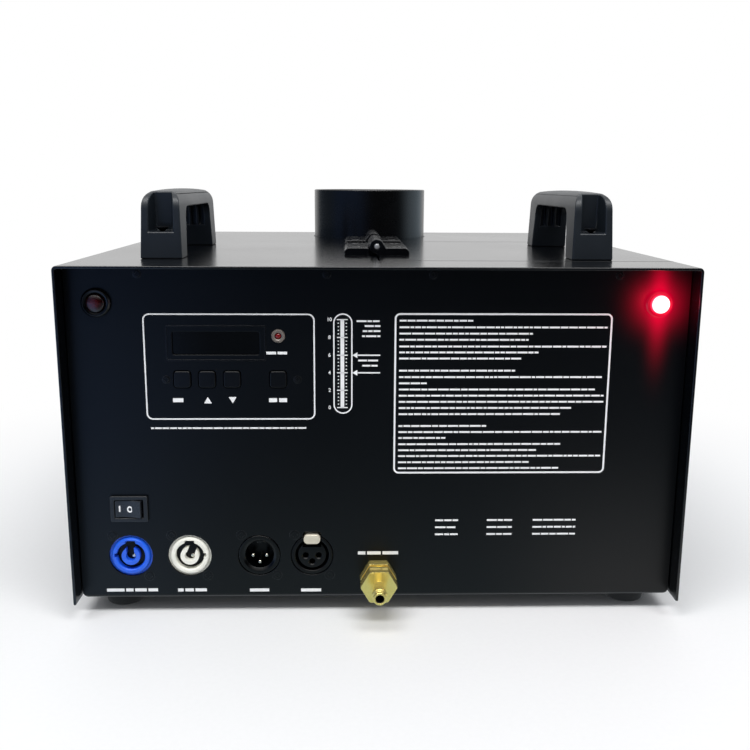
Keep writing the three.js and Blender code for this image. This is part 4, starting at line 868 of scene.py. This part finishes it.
form = lathe("z", cupSpot, [
    (0, 0), (body, 0), (body, a), (groove, a + slope), (groove, b - slope), (body, b), (body, under - 0.3),
    (neck, under - 0.3, 0.2), (neck, tall, 0.8), (bore, tall), (bore, boreEnd, 0), (0, boreEnd)], 0.5)
addPiece("canister_stub", form, "canister_coupling")
pipe = {"radius": 4, "across": 13, "union": 8, "unionSize": 7.5, "chamfer": (0.2, 0.8), "bend": 14,
        "linkIn": 12}
size, long, corner, (a, b) = pipe["radius"], pipe["union"], pipe["unionSize"], pipe["chamfer"]
for node in ("propane_pipe", "canister_pipe"):
    low, high = span(node)
    at = panelSpot(node)
    addPiece(node + "_tube", lathe("y", at, rod(size, low.y, high.y), 0.2, 40), node)
    form = bmesh.new()
    for y0 in (low.y, high.y - long):
        lathe("y", at, [(size, y0), (corner - a, y0), (corner, y0 + b), (corner, y0 + long - b),
                        (corner - a, y0 + long), (size, y0 + long)], 0, 96, hexReach(pipe["across"]), form)
    addPiece(node + "_unions", form, slot="brass")
low, high = span("canister_link")
x, z = span("canister_valve")[0].x + pipe["linkIn"], centre("canister_link").z
y, bend = high.y - size, pipe["bend"]
path = traced([(x, low.y), (x, y - bend), (x, y, x - bend, y), (low.x, y)], 16)
form = sweep([(a, b, z) for a, b in path], size, 32)
addPiece("canister_link_tube", form, "canister_link", edge=0.2, sharp=50)
print("canister bay made")

# Screws: a countersunk head with a cross recess, parts of the head's size
screw = {"rim": 0.35, "recess": 0.6, "floor": 0.52, "deep": 0.35, "waist": 0.62, "arm": 2.5, "tail": 0.8,
         "sides": 48, "turn": 0.35}


def addScrews(name, places, axis, way, head, body, slot, rise=0.15):
    form = bmesh.new()
    for place in places:
        deep = -way * head * screw["deep"]
        rings = [(head, 0, False), (head, way * rise * 0.6, False), (head - screw["rim"], way * rise, False),
                 (head * screw["recess"], way * rise * 1.15, True), (head * screw["floor"], deep, True)]
        loops = [ring(form, axis, place, [(0, 0)], -way * head * screw["tail"])]
        for size, along, crossed in rings:
            outline = []
            for i in range(screw["sides"]):
                turn = tau * i / screw["sides"] + screw["turn"]
                arm = (1 - screw["waist"]) * abs(cos(2 * turn)) ** screw["arm"]
                reach = size * (screw["waist"] + arm) if crossed else size
                outline.append((cos(turn) * reach, sin(turn) * reach))
            loops.append(ring(form, axis, place, outline, along))
        loops.append(ring(form, axis, place, [(0, 0)], deep * 1.15))
        bridge(form, loops)
    addPiece(name, form, body=body, slot=slot, look="screw_black", sharp=35)


# Offsets from a connector's centre; places along a row, and its drop below the top plate; "low" is the height of
# the lower rows; a leaf's screws count from the hinge line and from the leaf's ends
screwRows = {"connector": (9.65, 11.85), "top": ((-125.9, -27.8, 27.8, 125.9), 5.1),
             "board": ((-113.1, -43.6), 61), "low": 22, "side": ((22, 168.5, 315), 25),
             "rear": ((-150, 0, 150), 14), "leaf": (12, 9)}
connectors = [centre(node) for node in ("mains_inlet", "mains_outlet", "control_in_shell", "control_out_shell")]
a, b = screwRows["connector"]
rows = [(c.x + side * a, panelFace, c.z - side * b) for c in connectors for side in (-1, 1)]
addScrews("connector_screws", rows, "y", -1, 2.85, "case", "panel_paint")
rows = [(x, panelFace, topPlate - drop) for row, drop in (screwRows["top"], screwRows["board"]) for x in row]
addScrews("panel_screws", rows, "y", -1, 2.2, "case", "panel_paint", 0.2)
across, drop = screwRows["side"]
rows = [(y, screwRows["low"]) for y in across] + [(y, topPlate - drop) for y in across[::2]]
for name, x, way in (("side_screws_left", -sideFace, -1), ("side_screws_right", sideFace, 1)):
    addScrews(name, [(x, y, z) for y, z in rows], "x", way, 2.6, "case", "hood_paint", 0.2)
across, drop = screwRows["rear"]
rows = [(x, rearFace, z) for x in across for z in (screwRows["low"], topPlate - drop)]
addScrews("rear_screws", rows, "y", 1, 2.6, "case", "panel_paint", 0.2)
out, inward = screwRows["leaf"]
for end in ("front", "rear"):
    low, high = span("lid_leaf_" + end)
    for kind, body, x in (("fixed_", "case", -out), ("lid_", "lid", out)):
        rows = [(x, y, topPlate + hinge["leaf"]) for y in (low.y + inward, high.y - inward)]
        addScrews("hinge_screws_" + kind + end, rows, "z", 1, 2.5, body, "hinge_plastic")
for side in ("left", "right"):
    node = "handle_" + side
    low, high = span(node)
    floor = low.z + handle["pocketFloor"] + handle["screwRise"]
    rows = [(centre(node).x, y, floor) for y in (low.y + handle["screwIn"], high.y - handle["screwIn"])]
    addScrews("handle_screws_" + side, rows, "z", 1, handle["screw"], bodyOf[node], "pin_steel", 0.3)
print("screws made")

# White print on the front panel, measured from the top plate's middle: frames, rows of plain dashes, scale and
# arrows. A dash and its gap are parts of the row's height
ink = {"proud": 0.05, "sunk": 0.02, "dash": 0.72, "gap": 0.36, "note": 1.35, "noteAt": 10.4}
printed = bmesh.new()
printAt = (0, panelFace, topPlate)


def inkShape(outline):
    prism("y", printAt, outline, -ink["proud"], ink["sunk"], printed)


def inkFrame(x0, x1, z0, z1, radius, width):
    outer, inner = (
        rectangle(x1 - x0 - 2 * inset, z1 - z0 - 2 * inset, radius - inset, 8, (x0 + x1) / 2, (z0 + z1) / 2)
        for inset in (0, width))
    band("y", printAt, outer, inner, -ink["proud"], ink["sunk"], printed)


def inkRow(x0, x1, z, height):
    x = x0
    while x < x1 - height:
        wide = min(height * random.uniform(1.2, 4.6), x1 - x)
        inkShape(rectangle(wide, height * ink["dash"], 0, 1, x + wide / 2, z))
        x += wide + height * ink["gap"]


# Left, right, bottom, top, corner radius and line width
inkFrame(-124.3, -34.3, -82.9, -25.6, 3.5, 0.75)
inkFrame(7.8, 123.5, -113.4, -25.2, 3, 0.95)
inkFrame(-24.6, -14.4, -79.7, -25.4, 5.05, 0.7)
# Place and right end of each row in the large frame; then left, right, place and height of the others
notes = ((-29.2, 49.3), (-32.7, 121), (-36.1, 81.6), (-39.4, 79.1), (-43, 121), (-46.2, 84.6), (-49.5, 76.3),
         (-56.1, 72.8), (-59.6, 119.4), (-63, 25.3), (-66.4, 116), (-69.8, 121), (-73.2, 121), (-76.6, 104.8),
         (-80, 99), (-86.6, 57.9), (-90, 121), (-93.3, 36), (-96.8, 98.7), (-100.2, 87), (-103.5, 121),
         (-107, 81.8), (-110.4, 98.3))
labels = [(ink["noteAt"], x1, z, ink["note"]) for z, x1 in notes]
labels += [(-150.8, -122.6, -180.7, 2.5), (-111.5, -95.5, -180.9, 2.5), (-71.6, -60.4, -181.2, 2.5),
          (-43.1, -30.8, -181.4, 2.5), (-11.3, 11, -159.5, 2.6), (-60.6, -49, -46.6, 2),
          (-110, -101.5, -72.2, 3),
          (-59, -49.4, -72.2, 3), (-122.3, -37.8, -87.6, 1.2), (-12.3, 0.3, -29.5, 1.3), (-8, 0.3, -32.1, 1.3),
          (-9, 0.3, -34.8, 1.3), (-9.4, 0.3, -37.5, 1.3), (-11.4, 0.3, -50.6, 1.3), (-9.2, 0.3, -53.4, 1.3)]
labels += [(x0, x1, z, 1.4) for z in (-140.5, -144.6, -148.7)
           for x0, x1 in ((31.3, 44), (60, 74), (85.5, 109.4))]
for label in labels:
    inkRow(*label)
arrow = {"half": 2.1, "rise": 1.75, "z": -72.2}
for x, way in ((-91.5, 1), (-78.3, -1)):  # up and down marks under their buttons
    base, tip = arrow["z"] - way * arrow["rise"], arrow["z"] + way * arrow["rise"]
    inkShape(rounded([(x - arrow["half"], base), (x + arrow["half"], base), (x, tip)], 0.15, 2))
scale = {"top": -28.7, "bottom": -76.3, "x": -19.8, "bar": 2, "major": (5.7, 0.55), "dot": (0.85, 0.5),
         "dotOut": 2.1, "marks": 26, "figure": 2.7, "figureAt": -26.6, "offset": 0.05, "tip": -14.5,
         "tipBase": -11.8, "tipHalf": 1.6, "shaft": (12, 0.7), "shaftAt": -5.7}
scaleStep = (scale["top"] - scale["bottom"]) / 5
inkShape(rectangle(scale["bar"], scale["top"] - scale["bottom"], 0.2, 2, scale["x"],
                   (scale["top"] + scale["bottom"]) / 2))
for i in range(scale["marks"]):
    z = scale["top"] - i * scaleStep / 5
    if i % 5 == 0:
        inkShape(rectangle(*scale["major"], 0.05, 1, scale["x"], z))
        continue
    for side in (-1, 1):
        inkShape(rectangle(*scale["dot"], 0.2, 2, scale["x"] + side * scale["dotOut"], z))
for value in (6, 4):  # two arrows that point at the scale
    z = scale["bottom"] + value / 2 * scaleStep
    inkShape(rounded([(scale["tip"], z), (scale["tipBase"], z - scale["tipHalf"]),
                      (scale["tipBase"], z + scale["tipHalf"])], 0.05, 1))
    inkShape(rectangle(*scale["shaft"], 0.05, 1, scale["shaftAt"], z))
addPiece("panel_print", printed, slot="panel_paint", look="print")

figures = bmesh.new()
for i, figure in enumerate(("10", "8", "6", "4", "2", "0")):
    text = bpy.data.curves.new("figure", "FONT")
    text.body = figure
    text.size = scale["figure"]
    text.align_x = "CENTER"
    text.align_y = "CENTER"
    text.extrude = ink["proud"]
    text.offset = scale["offset"]
    shadeFrom = placed("figure", text)
    shape = shadeFrom.evaluated_get(bpy.context.evaluated_depsgraph_get()).to_mesh()
    place = Matrix.Translation((scale["figureAt"], panelFace, topPlate + scale["top"] - i * scaleStep))
    shape.transform(place @ Matrix.Rotation(pi / 2, 4, "X"))
    figures.from_mesh(shape)
    bpy.data.objects.remove(shadeFrom)
bmesh.ops.remove_doubles(figures, verts=figures.verts, dist=0.001)
addPiece("scale_figures", figures, slot="panel_paint", look="print")

# I and O on the rocker, each on its own half of the tilted face
mark = {"tilt": -8, "pivot": 1.2, "bar": (0.8, 3.3), "barAt": (-4.6, 0.2), "barDepth": (-3.45, -2.9),
        "rings": (1.6, 0.85), "ringAt": (0.9, -0.1), "ringDepth": (-2.62, -2.2), "tall": 1.15}
marks = prism("y", (0, 0, 0), rectangle(*mark["bar"], 0.15, 2, *mark["barAt"]), *mark["barDepth"])
outer, inner = ([(a, b * mark["tall"]) for a, b in circle(size, 40, *mark["ringAt"])] for size in mark["rings"])
band("y", (0, 0, 0), outer, inner, *mark["ringDepth"], marks)
pivot = Vector((centre("switch_body").x, panelFace + mark["pivot"], centre("switch_body").z))
turned = Matrix.Translation(pivot) @ Matrix.Rotation(radians(mark["tilt"]), 4, "Z")
bmesh.ops.transform(marks, matrix=turned, verts=marks.verts)
addPiece("rocker_marks", marks, body="rocker", slot="rocker_plastic", look="print")
print("print made")

# Studio: camera, surroundings, floor and lights, in metres
studio = {"at": (-0.01595, -0.62107, 0.23580), "yaw": 0.02855, "pitch": 0.20741, "roll": -0.00595,
          "lens": 43.63, "table": 4}
view = bpy.data.cameras.new("view")
view.lens = studio["lens"]
view.sensor_width = 36
view.clip_start = 0.01
camera = placed("view", view)
pose = Matrix.Translation(studio["at"])
for turn, axis in ((-studio["yaw"], "Z"), (pi / 2 - studio["pitch"], "X"), (-studio["roll"], "Z")):
    pose @= Matrix.Rotation(turn, 4, axis)
camera.matrix_world = pose
bpy.context.scene.camera = camera
bpy.context.scene.view_settings.view_transform = "Standard"

# Surroundings: soft light from above, white for the camera; mirrored they are white behind and overhead, and
# darker at the sides and in front
world = bpy.data.worlds.new("studio")
bpy.context.scene.world = world
air = Recipe(world)
way = air.node("ShaderNodeTexCoord", output="Generated")
sideways, forward, upward = (air.part(way, axis) for axis in "XYZ")
gloom = air.blend(air.step(sideways, -0.6, 0.1), tone(84, 106, 146), tone(14, 17, 19))
flank = air.blend(air.step(sideways, -0.3, 0.4), tone(84, 96, 110), (0.72, 0.88, 1, 1))
around = air.blend(air.step(forward, -0.5, 0.1), gloom, flank)
low = (1 - air.step(forward, 0.6, 0.85)) * (1 - air.step(upward, 0.35, 0.75))
mirrored = air.ray("Is Glossy Ray") + air.ray("Is Transmission Ray")
soft = air.blend(air.step(upward, -0.1, 0.9), (0.09, 0.095, 0.105, 1), (0.5, 0.51, 0.53, 1))
colour = air.blend(mirrored, soft, air.blend(low, (1, 1, 1, 1), around))
colour = air.blend(air.ray("Is Camera Ray"), colour, (1, 1, 1, 1))
background = air.node("ShaderNodeBackground", {}, {"Color": colour, "Strength": 1})
air.node("ShaderNodeOutputWorld", {}, {"Surface": background})

floorForm = bmesh.new()
floorForm.faces.new([floorForm.verts.new((a * studio["table"], b * studio["table"], 0))
                     for a, b in ((-1, -1), (1, -1), (1, 1), (-1, 1))])
floor = meshOf("floor", floorForm)
paper, recipe = newRecipe("paper")
floor.data.materials.append(paper)
away = recipe.vector("LENGTH", recipe.place(), output="Value")
matte = recipe.node("ShaderNodeBsdfPrincipled", {}, {"Roughness": 0.6, "Base Color": recipe.blend(
    recipe.noise(400, 3), (0.86, 0.865, 0.87, 1), (0.9, 0.905, 0.91, 1))})
lit = recipe.node("ShaderNodeEmission", {}, {"Color": (1, 1, 1, 1), "Strength": 1})
lift = recipe.ray("Is Camera Ray") * recipe.step(away, 0.2, 0.5)
shown = recipe.node("ShaderNodeMixShader", {}, [lift, matte, lit])
# Mirrored, the floor in front is pale near the case, bluish to the left and bright to the right
ahead = recipe.part(recipe.place(), "Y") * -1
across = recipe.part(recipe.place(), "X") / recipe.maths("MAXIMUM", ahead + 0.32, 0.4)
inFront = recipe.step(ahead, 0.13, 0.17)
near = 1 - recipe.step(ahead, 0.1, 0.55)
bluish = (1 - recipe.step(across, -0.34, -0.16)) * inFront
bright = recipe.step(across, 0.1, 0.3) * (1 - recipe.step(ahead, 0.12, 0.5)) * inFront
colour = recipe.blend(near, (0.09, 0.11, 0.14, 1), (0.46, 0.57, 0.62, 1))
colour = recipe.blend(bluish, colour, recipe.blend(near, (0.31, 0.49, 0.94, 1), (0.62, 0.8, 1, 1)))
colour = recipe.blend(bright, colour, (1, 1, 1, 1))
colour = recipe.blend(inFront, (0.6, 0.63, 0.66, 1), colour)
dim = recipe.node("ShaderNodeEmission", {}, {"Color": colour, "Strength": 1})
recipe.node("ShaderNodeOutputMaterial", {}, {
    "Surface": recipe.node("ShaderNodeMixShader", {}, [recipe.ray("Is Glossy Ray"), shown, dim])})


def addLamp(name, kind, place, power, colour=(1, 1, 1), **settings):
    light = bpy.data.lights.new(name, kind)
    light.energy = power
    light.color = colour
    for key, value in settings.items():
        setattr(light, key, value)
    shadeFrom = placed(name, light)
    shadeFrom.location = place
    shadeFrom.visible_camera = False
    return shadeFrom


softbox = addLamp("softbox", "AREA", (-0.05, -0.88, 2), 44, shape="RECTANGLE", size=2.6, size_y=0.6)
aim = Vector((0, -0.05, 0.05)) - softbox.location
softbox.rotation_euler = aim.to_track_quat("-Z", "Y").to_euler()
glow = centre("lamp_lens_right")
glowFront = (span("lamp_lens_right")[0].y + hoodFront) * mm
addLamp("redGlow", "POINT", (glow.x * mm, glowFront - 0.012, glow.z * mm), 0.012, (1, 0.02, 0.05),
        shadow_soft_size=0.004)
print("studio made")
